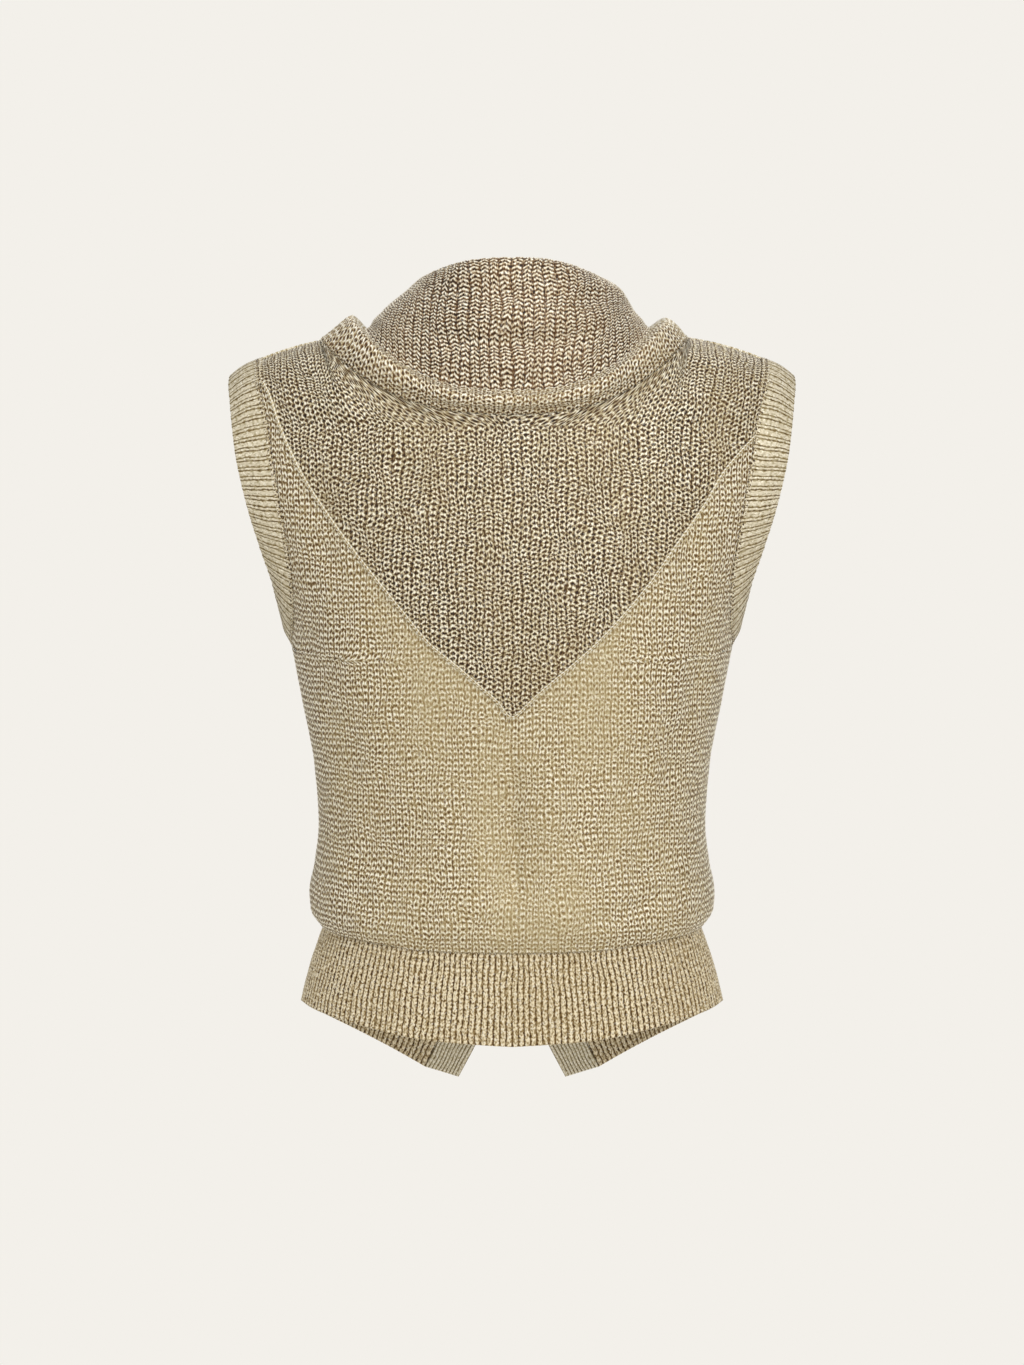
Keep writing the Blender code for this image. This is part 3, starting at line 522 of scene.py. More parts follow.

# %% [markdown]
# ## Creases
# Knit hangs in soft, uneven troughs and ridges, and cloth that nobody moves keeps them. They could be
# noise all over, but real ones start where something pulls: at the underarms, under the point of the yoke
# and above the hem band. So we place the main ones as short lines on the panels, and let each fade out
# around its line. The hidden front gets similar ones.

# %% Creases

# which form a crease lies on (-1 back, 1 front, 0 cowl), its two ends, its width and how far it stands out
CREASES = Table(
    "face x1 z1 x2 z2 width depth",
    # back: the hang below the point of the yoke, the pulls to the armholes, the blouse above the band
    (-1, 0.000, -0.285, 0.002, -0.418, 0.005, -0.0026),
    (-1, -0.020, -0.300, -0.030, -0.420, 0.012, 0.0010),
    (-1, 0.024, -0.295, 0.036, -0.425, 0.012, 0.0011),
    (-1, -0.152, -0.205, -0.112, -0.330, 0.012, -0.0018),
    (-1, 0.150, -0.205, 0.108, -0.335, 0.012, -0.0018),
    (-1, -0.128, -0.190, -0.085, -0.300, 0.016, 0.0014),
    (-1, 0.126, -0.190, 0.086, -0.300, 0.016, 0.0014),
    (-1, -0.120, -0.402, -0.060, -0.424, 0.009, -0.0020),
    (-1, 0.118, -0.400, 0.050, -0.424, 0.009, -0.0022),
    (-1, -0.135, -0.385, -0.090, -0.398, 0.008, 0.0016),
    (-1, 0.136, -0.384, 0.088, -0.397, 0.008, 0.0016),
    (-1, -0.040, -0.418, 0.034, -0.425, 0.008, -0.0014),
    (-1, 0.138, -0.100, 0.118, -0.200, 0.012, -0.0016),
    (-1, -0.144, -0.085, -0.122, -0.190, 0.012, -0.0014),
    (-1, -0.150, -0.030, -0.090, -0.075, 0.010, 0.0016),
    (-1, 0.150, -0.030, 0.095, -0.080, 0.010, 0.0016),
    (-1, -0.120, -0.045, -0.060, -0.110, 0.012, -0.0014),
    (-1, 0.118, -0.048, 0.066, -0.118, 0.012, -0.0014),
    # front: the same, kept clear of the ribbed edges
    (1, -0.150, -0.205, -0.100, -0.340, 0.012, -0.0018),
    (1, 0.152, -0.210, 0.104, -0.345, 0.012, -0.0018),
    (1, -0.122, -0.180, -0.070, -0.300, 0.016, 0.0014),
    (1, 0.120, -0.186, 0.072, -0.305, 0.016, 0.0014),
    (1, -0.120, -0.400, -0.060, -0.440, 0.009, -0.0018),
    (1, 0.116, -0.398, 0.056, -0.438, 0.009, -0.0018),
    (1, -0.080, -0.330, -0.066, -0.450, 0.011, -0.0014),
    (1, 0.084, -0.320, 0.070, -0.450, 0.011, -0.0014),
    (1, -0.130, -0.060, -0.080, -0.150, 0.012, -0.0014),
    (1, 0.128, -0.062, 0.082, -0.150, 0.012, -0.0014),
    # cowl: the funnel sags in soft rings round the neck
    (0, -0.060, 0.034, 0.090, 0.026, 0.006, -0.0022),
    (0, -0.090, 0.014, 0.090, 0.011, 0.008, 0.0022),
    (0, -0.110, 0.002, -0.060, -0.008, 0.006, -0.0022),
    (0, -0.070, -0.008, 0.100, -0.006, 0.007, -0.0020),
    (0, -0.080, -0.022, 0.020, -0.026, 0.007, 0.0012),
)

# how uneven a crease is along its way, and in patches of which width
CREASE_UNEVEN, CREASE_PATCH = 0.35, 0.03
# creases fade out by a form's sides (a share), by its top (metres) and below the funnel (rings)
SIDE_FADE, TOP_FADE, FUNNEL_FROM, FUNNEL_FADE = 0.06, 0.02, 9, 2


def crease(form, face):
    """Presses and lifts a form along its creases, less and less towards its edges."""
    x, z = form.points[..., 0], form.points[..., 2]
    depth = np.zeros_like(x)
    for side, x1, z1, x2, z2, width, lift in CREASES.rows:
        if side != FACES.get(face, 0):
            continue
        along = np.array([x2 - x1, z2 - z1])
        t = ((x - x1) * along[0] + (z - z1) * along[1]) / (along @ along)
        near = np.clip(t, 0, 1)
        away = np.hypot(x - x1 - near * along[0], z - z1 - near * along[1])
        # the seed comes from the crease's own place, so one can be moved without changing the others
        uneven = 1 + CREASE_UNEVEN * unevenness(x, z, CREASE_PATCH, int(abs(x1 * 1e4)))
        ends = np.clip(1.15 - np.abs(2 * near - 1) ** 3, 0, 1)
        depth += lift * uneven * np.exp(-((away / width) ** 2)) * ends
    share = np.abs(np.linspace(-1, 1, x.shape[1]))
    inside = np.minimum(1, (1 - share) / SIDE_FADE)[None, :]
    inside = inside * np.minimum(1, (form.up[-1] - form.up) / TOP_FADE)[:, None]
    if face == "cowl":
        inside = inside * np.clip((form.levels - FUNNEL_FROM) / FUNNEL_FADE, 0, 1)[:, None]
    form.points = form.points + (depth * inside)[..., None] * form.normals
    form.face()


print("creases placed by hand:", len(CREASES.rows))

# %% [markdown]
# ## The forms of the panels
# The back and the front could each be made of several surfaces that meet at the shoulder. One form from
# below the hem to the shoulder seam is simpler, and the wales can run up it without a break. Above the
# top row the surface rolls over to the neck and shoulder seams in a quarter turn.

# %% Settling a form

ACROSS, ROW_STEP, TURN_ROWS = 128, 0.0025, 44
# how many rows a panel's depth settles over, and the rows this fades over below the turn
SETTLE_ROWS, SETTLE_FADE = 11, 6
# the fill under the cowl's roll: its depth, its half width, and how far back the cloth takes all of it
FILL_DEPTH, FILL_HALF_WIDTH, FILL_FULL = 0.007, 0.13, 0.05
# the widths and normals even out from here below the top row, fading in, over so many rows each
EVEN_FROM, EVEN_FADE, WIDTH_ROWS, NORMAL_ROWS = 0.03, 0.02, 21, 7


def smoothed(rows, count):
    """Every row averaged with its neighbours, the near ones the most."""
    weights, half = np.hanning(count + 2)[1:-1], count // 2
    padded = np.pad(rows, ((half, half), (0, 0)), mode="edge")
    return sum(weight * padded[i : i + len(rows)] for i, weight in enumerate(weights)) / weights.sum()


def settled(points):
    """Knit never bends sharply: the depth of a panel's rows is averaged over about 15 mm up the cloth."""
    mix = np.clip((len(points) - TURN_ROWS - np.arange(len(points))) / SETTLE_FADE, 0, 1)[:, None]
    points[..., 1] += mix * (smoothed(points[..., 1], SETTLE_ROWS) - points[..., 1])
    return points


def under_roll(points, weights):
    """Fills the fold under the cowl's roll at the back, where the knit slopes up into it without a valley."""
    x, y = points[..., 0], points[..., 1]
    middle = np.clip(1 - (x / FILL_HALF_WIDTH) ** 2, 0, 1)
    fill = FILL_DEPTH * weights[:, None] * middle * np.clip(-y / FILL_FULL, 0, 1)
    return points - fill[..., None] * (0, 1, 0)


def eased(form, above):
    """Evens a panel's widths and normals near the top seam, and levels the normals on the side seams.

    above is how far each row lies above the top row.
    """
    near_seam = np.clip((above + EVEN_FROM) / EVEN_FADE, 0, 1)
    form.widths += near_seam * (smoothed(form.widths.T, WIDTH_ROWS).T - form.widths)
    flat_rows = form.normals.reshape(len(above), -1)
    form.normals = smoothed(flat_rows, NORMAL_ROWS).reshape(form.normals.shape)
    form.normals /= np.linalg.norm(form.normals, axis=2, keepdims=True)
    level = form.normals * (1, 0, 1)
    length = np.linalg.norm(level, axis=2)
    seam = (np.abs(form.points[..., 1]) < 1e-6) & (length > 0.1)
    form.normals[seam] = level[seam] / length[seam, None]
    return form


# %% Back and front forms

# the share of its width over which the back is pulled straight up to the cowl's seam, and the fade of it
PULLED, PULLED_FADE = 0.60, 0.25
# how far below the top row the fill under the roll fades out
FILL_REACH = 0.035


def joined(halves):
    """A whole row from its left and right halves, which both start at the centre line."""
    return np.concatenate([halves["left"][:0:-1], halves["right"]])


def panel_form(face, lowest):
    """The back's or the front's form, from below its hem to the neck and shoulder seams."""
    top, rows = TOP_ROW[face], []
    # the underarm is a sharp corner of the cloth, so it gets rows of its own
    corner = UNDERARM + np.array([0, 0.0002, 0.0008])
    heights = np.union1d(np.arange(lowest, top - ROW_STEP / 2, ROW_STEP), corner)
    for height in [*heights, top]:
        start = joined({side: section(face, side, height, ACROSS + 1) for side in SIDES})
        rows.append(start)
    shares = np.linspace(0, 1, ACROSS + 1)
    end = joined({side: np.array([top_edge(face, side, share) for share in shares]) for side in SIDES})
    turns = np.linspace(0, 1, TURN_ROWS + 1)[1:]
    # towards the cowl's seam the knit is pulled straight; over the shoulders it rolls in a quarter turn
    both_ways = joined({"left": shares, "right": shares})
    pulled = np.clip((PULLED - both_ways) / PULLED_FADE, 0, 1)[:, None] * (face == "back")
    for turn in turns:
        rolled, lifted = 1 - math.cos(math.pi / 2 * turn), math.sin(math.pi / 2 * turn)
        mix = np.array([lifted, rolled, lifted]) * (1 - pulled) + lifted * pulled
        rows.append(start + (end - start) * mix)
    levels = np.concatenate([heights, [top], top - top * turns])
    fill = np.exp(-((np.minimum(0, levels - top) / FILL_REACH) ** 2))
    form = Form(under_roll(settled(np.array(rows)), fill), (0, FACES[face], 0), levels)
    crease(form, face)
    return eased(form, levels - top)


back, front = panel_form("back", -0.52), panel_form("front", -0.60)
for name, form in (("back", back), ("front", front)):
    print(name, "form:", form.points.shape[:2], "points,", round(form.up[-1], 3), "m up the cloth")

# %% Cowl form

RING_STEPS, COWL_HALF = 8, 56
# how many rings up the fill under the roll fades over
ROLL_FILL = 2.6


def cowl_form():
    """The cowl's form: its rows are rings, from one end at the centre front round the back to the other."""
    rows, rings = [], np.linspace(0, LAST_RING, LAST_RING * RING_STEPS + 1)
    for ring in rings:
        halves = []
        for side in SIDES:
            fore = cowl_ring(side, ring, "front", COWL_HALF)
            aft = cowl_ring(side, ring, "back", COWL_HALF)
            halves.append(np.concatenate([fore, aft[-2::-1]]))
        line = np.concatenate([halves[0], halves[1][-2::-1]])
        # the first ring lies a little higher towards the shoulders, on top of their seams
        line[:, 2] += max(0, 1 - ring) * COWL_LIFT * (np.abs(line[:, 0]) / COWL("left_x", 0)) ** 4
        rows.append(line)
    fill = np.exp(-((rings / ROLL_FILL) ** 2))
    return Form(under_roll(np.array(rows), fill), (0, -1, 0), rings, counted=0.3)


cowl = cowl_form()
crease(cowl, "cowl")
print("cowl form:", cowl.points.shape[:2], "points,", round(cowl.up[-1], 3), "m from the seam over the rim")

# %% [markdown]
# ## Knitting
# A knit is columns of V-shaped loops, called wales, crossed by rows of them, called courses. A real loop
# is a yarn bent round its neighbours, but to model every yarn would take tens of millions of faces. Here
# a wall of cloth starts as one flat grid operator, and the grid is counted in stitches: across a wale a
# point lies in the gutter, on each leg and in the middle of the V, and its rows lean with the legs, so
# the mesh's own edges run along the yarn. The grid is then extruded to a closed wall, its points are
# placed on a form, and the legs stand proud of the gutters.

# %% Gauge of a knit


class Gauge:
    """One gauge of knit: a stitch's width and height in metres, and how its loops lie.

    A wale's legs stand split from its middle and lean up and outward.  gutter is how deep the sides of a
    wale are, row how much its courses show, and pair how far every other two of these gutters draw together.
    net is the share of an open lattice of gaps, between yarns that sway by sway.
    """

    def __init__(
        self, wale, course, lean=1.15, split=0.23, gutter=1.0, row=0.7, pair=0.0, net=0.0, sway=0.65
    ):
        self.wale, self.course, self.lean, self.split = wale, course, lean, split
        self.gutter, self.row, self.pair, self.net, self.sway = gutter, row, pair, net, sway

    def loops(self, across, up):
        """How high the knit stands, from 0 in its gaps to 1 on the yarn, at a place counted in stitches."""
        across = across + self.pair * np.cos(math.pi * across)
        beside = np.abs(across - np.floor(across) - 0.5)
        strand = 0.5 + 0.5 * np.cos(2 * math.pi * (up - self.lean * (beside - 0.5)))
        leg = np.clip(1 - self.gutter * ((beside - self.split) / (0.5 - self.split)) ** 2, 0, 1)
        waves = np.cos(2 * math.pi * across) + self.sway * np.cos(2 * math.pi * up)
        lattice = 1 - np.abs(waves) / (1 + self.sway)
        return (1 - self.net) * leg * (1 - self.row + self.row * strand) + self.net * lattice


def stitch_grid(wales, courses, steps, lean):
    """Knit coordinates, in stitches, of every point of a grid whose rows lean with the legs."""
    columns = np.arange(wales * steps[0] + 1) / steps[0]
    rows = np.arange(courses * steps[1] + 1) / steps[1]
    across, up = np.meshgrid(columns, rows)
    return across, up + lean * (np.abs(across - np.floor(across) - 0.5) - 0.5)


plain = Gauge(wale=0.005, course=0.004)
for spot, across in (("gutter", 0.0), ("leg", 0.27)):
    print("a plain loop stands", round(float(plain.loops(across, -0.31)), 2), "high on its", spot)

# %% A wall of cloth


def wall(name, outer, inner, knit_uv, dropped):
    """A closed wall of cloth: a grid operator's sheet, without its dropped faces, extruded to two layers.

    A face is dropped when all its four points were stopped at the same edge of the piece.
    """
    rows, columns = outer.shape[:2]
    mesh = bmesh.new()
    number, layer = mesh.verts.layers.int.new("number"), mesh.verts.layers.int.new("layer")
    bmesh.ops.create_grid(mesh, x_segments=columns - 1, y_segments=rows - 1, size=1)
    for index, vert in enumerate(mesh.verts):
        vert[number] = index
    flags, outside = dropped.ravel().tolist(), []
    for face in mesh.faces:
        a, b, c, d = (flags[vert[number]] for vert in face.verts)
        if a & b & c & d:
            outside.append(face)
    bmesh.ops.delete(mesh, geom=outside, context="FACES")
    grown = bmesh.ops.extrude_face_region(mesh, geom=mesh.faces[:])
    for vert in grown["geom"]:
        if isinstance(vert, bmesh.types.BMVert):
            vert[layer] = 1
    data = bpy.data.meshes.new(name)
    mesh.to_mesh(data)
    mesh.free()
    count = len(data.vertices)
    # every point has kept its number on the grid, so both layers can be laid where the knit lies
    index, side = np.zeros(count, int), np.zeros(count, int)
    data.attributes["number"].data.foreach_get("value", index)
    data.attributes["layer"].data.foreach_get("value", side)
    places = np.where(side[:, None] == 1, outer.reshape(-1, 3)[index], inner.reshape(-1, 3)[index])
    data.vertices.foreach_set("co", places.ravel())
    corners = np.zeros(len(data.loops), int)
    data.loops.foreach_get("vertex_index", corners)
    uv = data.uv_layers.new(name="knit")
    uv.data.foreach_set("uv", knit_uv.reshape(-1, 2)[index[corners]].ravel())
    # points that were stopped at the same place are merged, and the closed wall turned to face outwards
    mesh = bmesh.new()
    mesh.from_mesh(data)
    bmesh.ops.remove_doubles(mesh, verts=mesh.verts[:], dist=2e-6)
    bmesh.ops.recalc_face_normals(mesh, faces=mesh.faces[:])
    if mesh.calc_volume(signed=True) < 0:
        bmesh.ops.reverse_faces(mesh, faces=mesh.faces[:])
    mesh.to_mesh(data)
    mesh.free()
    for attribute in ("number", "layer"):
        data.attributes.remove(data.attributes[attribute])
    data.shade_smooth()
    made = bpy.data.objects.new(name, data)
    bpy.context.scene.collection.objects.link(made)
    return made


def area_of(made):
    return sum(face.area for face in made.data.polygons)


# %% Knitting a piece

# how uneven the loops are, in patches of four wales, and the height of a loop that lies on the form itself
LOOP_UNEVEN, LOOP_SEED, LOOP_LEVEL = 0.22, 5, 0.45


def knit(name, place, wales, courses, gauge, relief, thickness, steps=(6, 2), both=False):
    """Knits a piece; place lays knit coordinates in metres on a form.

    relief is how far the loops stand out, steps how many points a stitch has across and up, and both lets the
    inside swell as the outside does.
    """
    across, up = stitch_grid(wales, courses, steps, gauge.lean)
    u, v = across * gauge.wale, up * gauge.course
    points, normals, dropped = place(u, v)
    rough = 1 + LOOP_UNEVEN * unevenness(u, v, 4 * gauge.wale, LOOP_SEED)
    lift = relief * rough * (gauge.loops(across, up) - LOOP_LEVEL)
    outer = points + lift[..., None] * normals
    inner = points - (thickness + (lift if both else 0 * lift))[..., None] * normals
    made = wall(name, outer, inner, np.stack([u - wales / 2 * gauge.wale, v], axis=-1), dropped)
    made.data.calc_loop_triangles()
    print(f"{name}: {wales} wales x {courses} courses, {len(made.data.loop_triangles)} triangles")
    return made


# %% [markdown]
# ## The yarn
# The yarn is a viscose strand with a flat polyester film, metallised gold, plied round it. It shows as
# three things: pale, satin legs where a loop stands proud, dark brown gaps where the eye looks between
# loops to the hollow inside, and single small glints. In the finish the pale of the legs is a painted
# highlight, the dark of the gaps is painted shade, and the glints are painted highlights. It could be
# told by a photograph of knit wrapped on the pieces, but that would repeat and carry its own light. So
# one finish made of nodes serves every gauge: it reads the knit's own UV map in metres, divides it by the
# gauge's stitch size, and draws the same V as the mesh. A small function adds each node.

# %% Node and colour helpers


def srgb(code):
    """Linear colour from an sRGB hex value."""
    values = [int(code[i : i + 2], 16) / 255 for i in (1, 3, 5)]
    return (*[v / 12.92 if v <= 0.04045 else ((v + 0.055) / 1.055) ** 2.4 for v in values], 1)


def add(tree, kind, inputs=None, **settings):
    """Adds a shader node with its settings and inputs; a node or a socket given as an input is linked."""
    made = tree.nodes.new("ShaderNode" + kind)
    for name, value in settings.items():
        setattr(made, name, value)
    for socket, value in (inputs or {}).items():
        if isinstance(value, bpy.types.Node):
            value = value.outputs[0]
        if isinstance(value, bpy.types.NodeSocket):
            tree.links.new(value, made.inputs[socket])
        else:
            made.inputs[socket].default_value = value
    return made


print("middle grey #808080 is", round(srgb("#808080")[0], 3), "in linear light")

# %% [markdown]
# ## The stitch in the material
# The mesh has only a few points on each loop, so its own shadows leave the gaps too pale. A picture of
# dark gaps would drift off the loops. So the material works the stitch out once more from the same gauge,
# with the steps of Gauge.loops as nodes, and the painted shade of a gap and the painted highlight of a leg
# fall exactly on the relief.

# %% Stitch as nodes


def wale_nodes(tree, gauge, axes):
    """How many wales across and courses up a place on the knit map lies."""
    across = add(tree, "Math", {0: axes.outputs[0], 1: gauge.wale}, operation="DIVIDE")
    if gauge.pair:
        turn = add(tree, "Math", {0: across, 1: math.pi}, operation="MULTIPLY")
        swing = add(tree, "Math", {0: turn}, operation="COSINE")
        across = add(tree, "Math", {0: swing, 1: gauge.pair, 2: across}, operation="MULTIPLY_ADD")
    return across, add(tree, "Math", {0: axes.outputs[1], 1: gauge.course}, operation="DIVIDE")


def leg_nodes(tree, gauge, across, up):
    """How high the two legs of a V stand: a cord on each side of the wale, crossed by its courses."""
    share = add(tree, "Math", {0: across}, operation="FRACT")
    signed = add(tree, "Math", {0: share, 1: 0.5}, operation="SUBTRACT")
    beside = add(tree, "Math", {0: signed}, operation="ABSOLUTE")
    inward = add(tree, "Math", {0: beside, 1: 0.5}, operation="SUBTRACT")
    shift = add(tree, "Math", {0: inward, 1: gauge.lean}, operation="MULTIPLY")
    leaned = add(tree, "Math", {0: up, 1: shift}, operation="SUBTRACT")
    turn = add(tree, "Math", {0: leaned, 1: 2 * math.pi}, operation="MULTIPLY")
    wave = add(tree, "Math", {0: turn}, operation="COSINE")
    strand = add(tree, "Math", {0: wave, 1: 0.5, 2: 0.5}, operation="MULTIPLY_ADD")
    from_leg = add(tree, "Math", {0: beside, 1: gauge.split}, operation="SUBTRACT")
    off = add(tree, "Math", {0: from_leg, 1: 0.5 - gauge.split}, operation="DIVIDE")
    squared = add(tree, "Math", {0: off, 1: off}, operation="MULTIPLY")
    round_leg = {0: squared, 1: -gauge.gutter, 2: 1.0}
    leg = add(tree, "Math", round_leg, operation="MULTIPLY_ADD", use_clamp=True)
    course = add(tree, "Math", {0: strand, 1: gauge.row, 2: 1 - gauge.row}, operation="MULTIPLY_ADD")
    return add(tree, "Math", {0: leg, 1: course}, operation="MULTIPLY")


def net_nodes(tree, gauge, across, up, legs):
    """Mixes the legs with an open lattice of gaps, where the gauge has one."""
    if not gauge.net:
        return legs
    turns = [add(tree, "Math", {0: axis, 1: 2 * math.pi}, operation="MULTIPLY") for axis in (across, up)]
    wave, rise = (add(tree, "Math", {0: turn}, operation="COSINE") for turn in turns)
    crossed = add(tree, "Math", {0: rise, 1: gauge.sway, 2: wave}, operation="MULTIPLY_ADD")
    away = add(tree, "Math", {0: crossed}, operation="ABSOLUTE")
    near = {0: away, 1: -1 / (1 + gauge.sway), 2: 1.0}
    lattice = add(tree, "Math", near, operation="MULTIPLY_ADD")
    kept = add(tree, "Math", {0: legs, 1: 1 - gauge.net}, operation="MULTIPLY")
    opened = add(tree, "Math", {0: lattice, 1: gauge.net}, operation="MULTIPLY")
    return add(tree, "Math", {0: kept, 1: opened}, operation="ADD")


# %% Tone of the yarn

# sizes in metres: patches in which the loops stray, streaks of the yarn, bands in which the knit is drawn
# open, and painted glints.  A real glint is 0.3 mm; it is painted at 1 mm, because a finer one is lost in the
# render.
STRAY_PATCH, YARN_STREAK, OPEN_BAND, GLINT = 0.0045, 0.0011, 0.055, 0.0010
# streaks and bands are 2.5 times as long up the knit as across it
STREAK_STRETCH = (1.0, 0.4, 1.0)
# the share of specks that don't glint, how much a painted glint pales the yarn's colour, and how much
# smoother it is
GLINT_FROM, PAINTED_GLINT_PALE, GLINT_SMOOTH = 0.87, 0.7, 0.25


def strayed(tree, flat, stray):
    """A place on the knit map, moved by about this many metres: no loop lies quite straight."""
    pull = add(tree, "TexNoise", {"Vector": flat, "Scale": 1 / STRAY_PATCH, "Detail": 1.0})
    middle = {0: pull.outputs["Color"], 1: (0.5, 0.5, 0.5)}
    signed = add(tree, "VectorMath", middle, operation="SUBTRACT")
    moved = add(tree, "VectorMath", {0: signed, "Scale": 2 * stray}, operation="SCALE")
    where = add(tree, "VectorMath", {0: flat, 1: moved}, operation="ADD")
    return add(tree, "SeparateXYZ", {0: where})


def tone_nodes(tree, loop, fine, slow, axes, speckle, patchy, sides, rise):
    """Where a place lies between a gap's painted shade and the palest yarn's painted highlight, for the
    colour ramp.
    """
    grain = add(tree, "Math", {0: fine, 1: 0.5}, operation="SUBTRACT")
    height = add(tree, "Math", {0: loop, 1: 0.5}, operation="SUBTRACT")
    uneven = add(tree, "Math", {0: grain, 1: 2 * speckle, 2: height}, operation="MULTIPLY_ADD")
    # where the knit is drawn open its gaps are darker and its legs paler: in random bands, and towards the
    # side seams, where it is painted shade
    patch = add(tree, "Math", {0: slow, 1: 4 * patchy, 2: 1 - 2 * patchy}, operation="MULTIPLY_ADD")
    painted_side_shade = add(tree, "Math", {0: axes, 1: axes}, operation="MULTIPLY")
    drawn = add(tree, "Math", {0: painted_side_shade, 1: sides, 2: patch}, operation="MULTIPLY_ADD")
    shade = add(tree, "Math", {0: drawn, 1: -0.10, 2: 0.60}, operation="MULTIPLY_ADD")
    # rise pales the knit upwards, painted light: on the roll a lit crest over a shaded underside
    closed = add(tree, "Math", {0: axes.outputs[1], 1: rise, 2: shade}, operation="MULTIPLY_ADD")
    contrast = add(tree, "Math", {0: drawn, 1: 0.2}, operation="MAXIMUM")
    return add(tree, "Math", {0: uneven, 1: contrast, 2: closed}, operation="MULTIPLY_ADD")


def painted_glint_nodes(tree, flat, loop):
    """Painted highlights: the metallised film's glints are painted as single pale specks, only where a loop
    stands proud.
    """
    speck = add(tree, "TexVoronoi", {"Vector": flat, "Scale": 1 / GLINT})
    level = add(tree, "SeparateColor", {0: speck.outputs["Color"]})
    chosen = add(tree, "Math", {0: level, 1: GLINT_FROM}, operation="GREATER_THAN")
    return add(tree, "Math", {0: chosen, 1: loop}, operation="MULTIPLY", use_clamp=True)


# %% Knit finish


def knit_finish(name, gauge, colours, places, speckle, stray, patchy=0.3, sides=0, rise=0):
    """Knitted metallic yarn, whose colours run from the gaps to the proudest part of a loop at these places.

    speckle is how uneven the yarn's own tone is, stray how far the loops stray in metres, and patchy how much
    the knit is drawn open in bands.  sides darkens it and deepens its gaps towards the side seams, as painted
    shade, and rise pales it upwards, as painted light.  The gap colours are painted shade, the palest painted
    highlight.
    """
    material = bpy.data.materials.new(name)
    material.use_nodes = True
    tree = material.node_tree
    shader = tree.nodes["Principled BSDF"]
    flat = add(tree, "UVMap", uv_map="knit").outputs[0]
    axes = strayed(tree, flat, stray)
    across, up = wale_nodes(tree, gauge, axes)
    loop = net_nodes(tree, gauge, across, up, leg_nodes(tree, gauge, across, up))

    along = add(tree, "VectorMath", {0: flat, 1: STREAK_STRETCH}, operation="MULTIPLY")
    streaks = {"Vector": along, "Scale": 1 / YARN_STREAK, "Detail": 2.0, "Roughness": 0.6}
    fine = add(tree, "TexNoise", streaks)
    slow = add(tree, "TexNoise", {"Vector": along, "Scale": 1 / OPEN_BAND, "Detail": 1.0, "Roughness": 0.5})
    tone = tone_nodes(tree, loop, fine, slow, axes, speckle, patchy, sides, rise)
    ramp = add(tree, "ValToRGB", {0: tone})
    while len(ramp.color_ramp.elements) < len(colours):
        ramp.color_ramp.elements.new(0.5)
    for element, at, code in zip(ramp.color_ramp.elements, places, colours):
        element.position, element.color = at, srgb(code)

    # painted highlights: the colour is mixed towards near-white in the glints, which are also made less rough
    painted_glint_and_gloss = painted_glint_nodes(tree, flat, loop)
    share = add(tree, "Math", {0: painted_glint_and_gloss, 1: PAINTED_GLINT_PALE}, operation="MULTIPLY")
    painted_highlight_mix = {0: share, 6: ramp, 7: srgb("#FFFBEC")}
    colour = add(tree, "Mix", painted_highlight_mix, data_type="RGBA")
    tree.links.new(colour.outputs[2], shader.inputs["Base Color"])
    # satin viscose scatters light widely, and the film in it is smoother
    gloss = add(tree, "Math", {0: painted_glint_and_gloss, 1: -GLINT_SMOOTH, 2: 0.5}, operation="MULTIPLY_ADD")
    tree.links.new(gloss.outputs[0], shader.inputs["Roughness"])
    # only the film is metal, a small part of the yarn; loose fibre ends give the faint sheen
    shader.inputs["Metallic"].default_value = 0.15
    shader.inputs["Specular IOR Level"].default_value = 0.4
    shader.inputs["Sheen Weight"].default_value = 0.12
    shader.inputs["Sheen Roughness"].default_value = 0.4
    # the bump is the yarn's own fibre and round, 0.4 mm deep, too fine for the mesh
    fibre = add(tree, "Math", {0: fine, 1: 0.6, 2: loop}, operation="MULTIPLY_ADD")
    raised = add(tree, "Bump", {"Height": fibre, "Distance": 0.0004, "Strength": 1.0})
    tree.links.new(raised.outputs[0], shader.inputs["Normal"])
    return material


# %% [markdown]
# ## Gauges
# A gauge could be picked by eye, but a wrong count of stitches is seen at once. So every stitch size is
# measured on the photograph, by how often its pattern repeats, and turned to millimetres. The body is an
# open lattice of small loops, the yoke and roll have a larger one, the funnel has stacked chevrons, and
# the ribs are columns of small Vs.

# %% Gauges of the vest

BODY_GAUGE = Gauge(0.0048, 0.0043, lean=0.6, split=0.15, gutter=0.5, row=0.9, net=0.6, sway=0.6)
YOKE_GAUGE = Gauge(0.0065, 0.0036, lean=0.6, split=0.20, gutter=0.9, row=0.8, net=0.65, sway=0.7)
FUNNEL_GAUGE = Gauge(0.0077, 0.0029, lean=-1.4, split=0.10, gutter=0.45, row=1.0, net=0.3, sway=0.5)
RIB_GAUGE = Gauge(0.0041, 0.0026, split=0.12, row=0.3)
EDGE_RIB_GAUGE = Gauge(0.0028, 0.0026, split=0.12, row=0.3)
CUFF_GAUGE = Gauge(0.0036, 0.0029, split=0.05, row=0.15, pair=0.17)
LINK_GAUGE = Gauge(0.0030, 0.0036)
for name, gauge in (("body", BODY_GAUGE), ("yoke", YOKE_GAUGE), ("funnel", FUNNEL_GAUGE)):
    print(f"{name}: {0.1 / gauge.wale:.0f} wales and {0.1 / gauge.course:.0f} courses in 10 cm")

# %% [markdown]
# ## The finishes
# All pieces are knitted from one yarn, yet each gauge looks different, because it opens and closes the
# yarn differently. One material for all would miss that, so the same finish is made anew for each gauge,
# with the colours of its gaps, which are painted shade, its shaded yarn, its lit yarn and its palest
# loops, which are painted highlight.

# %% Finishes of the panels

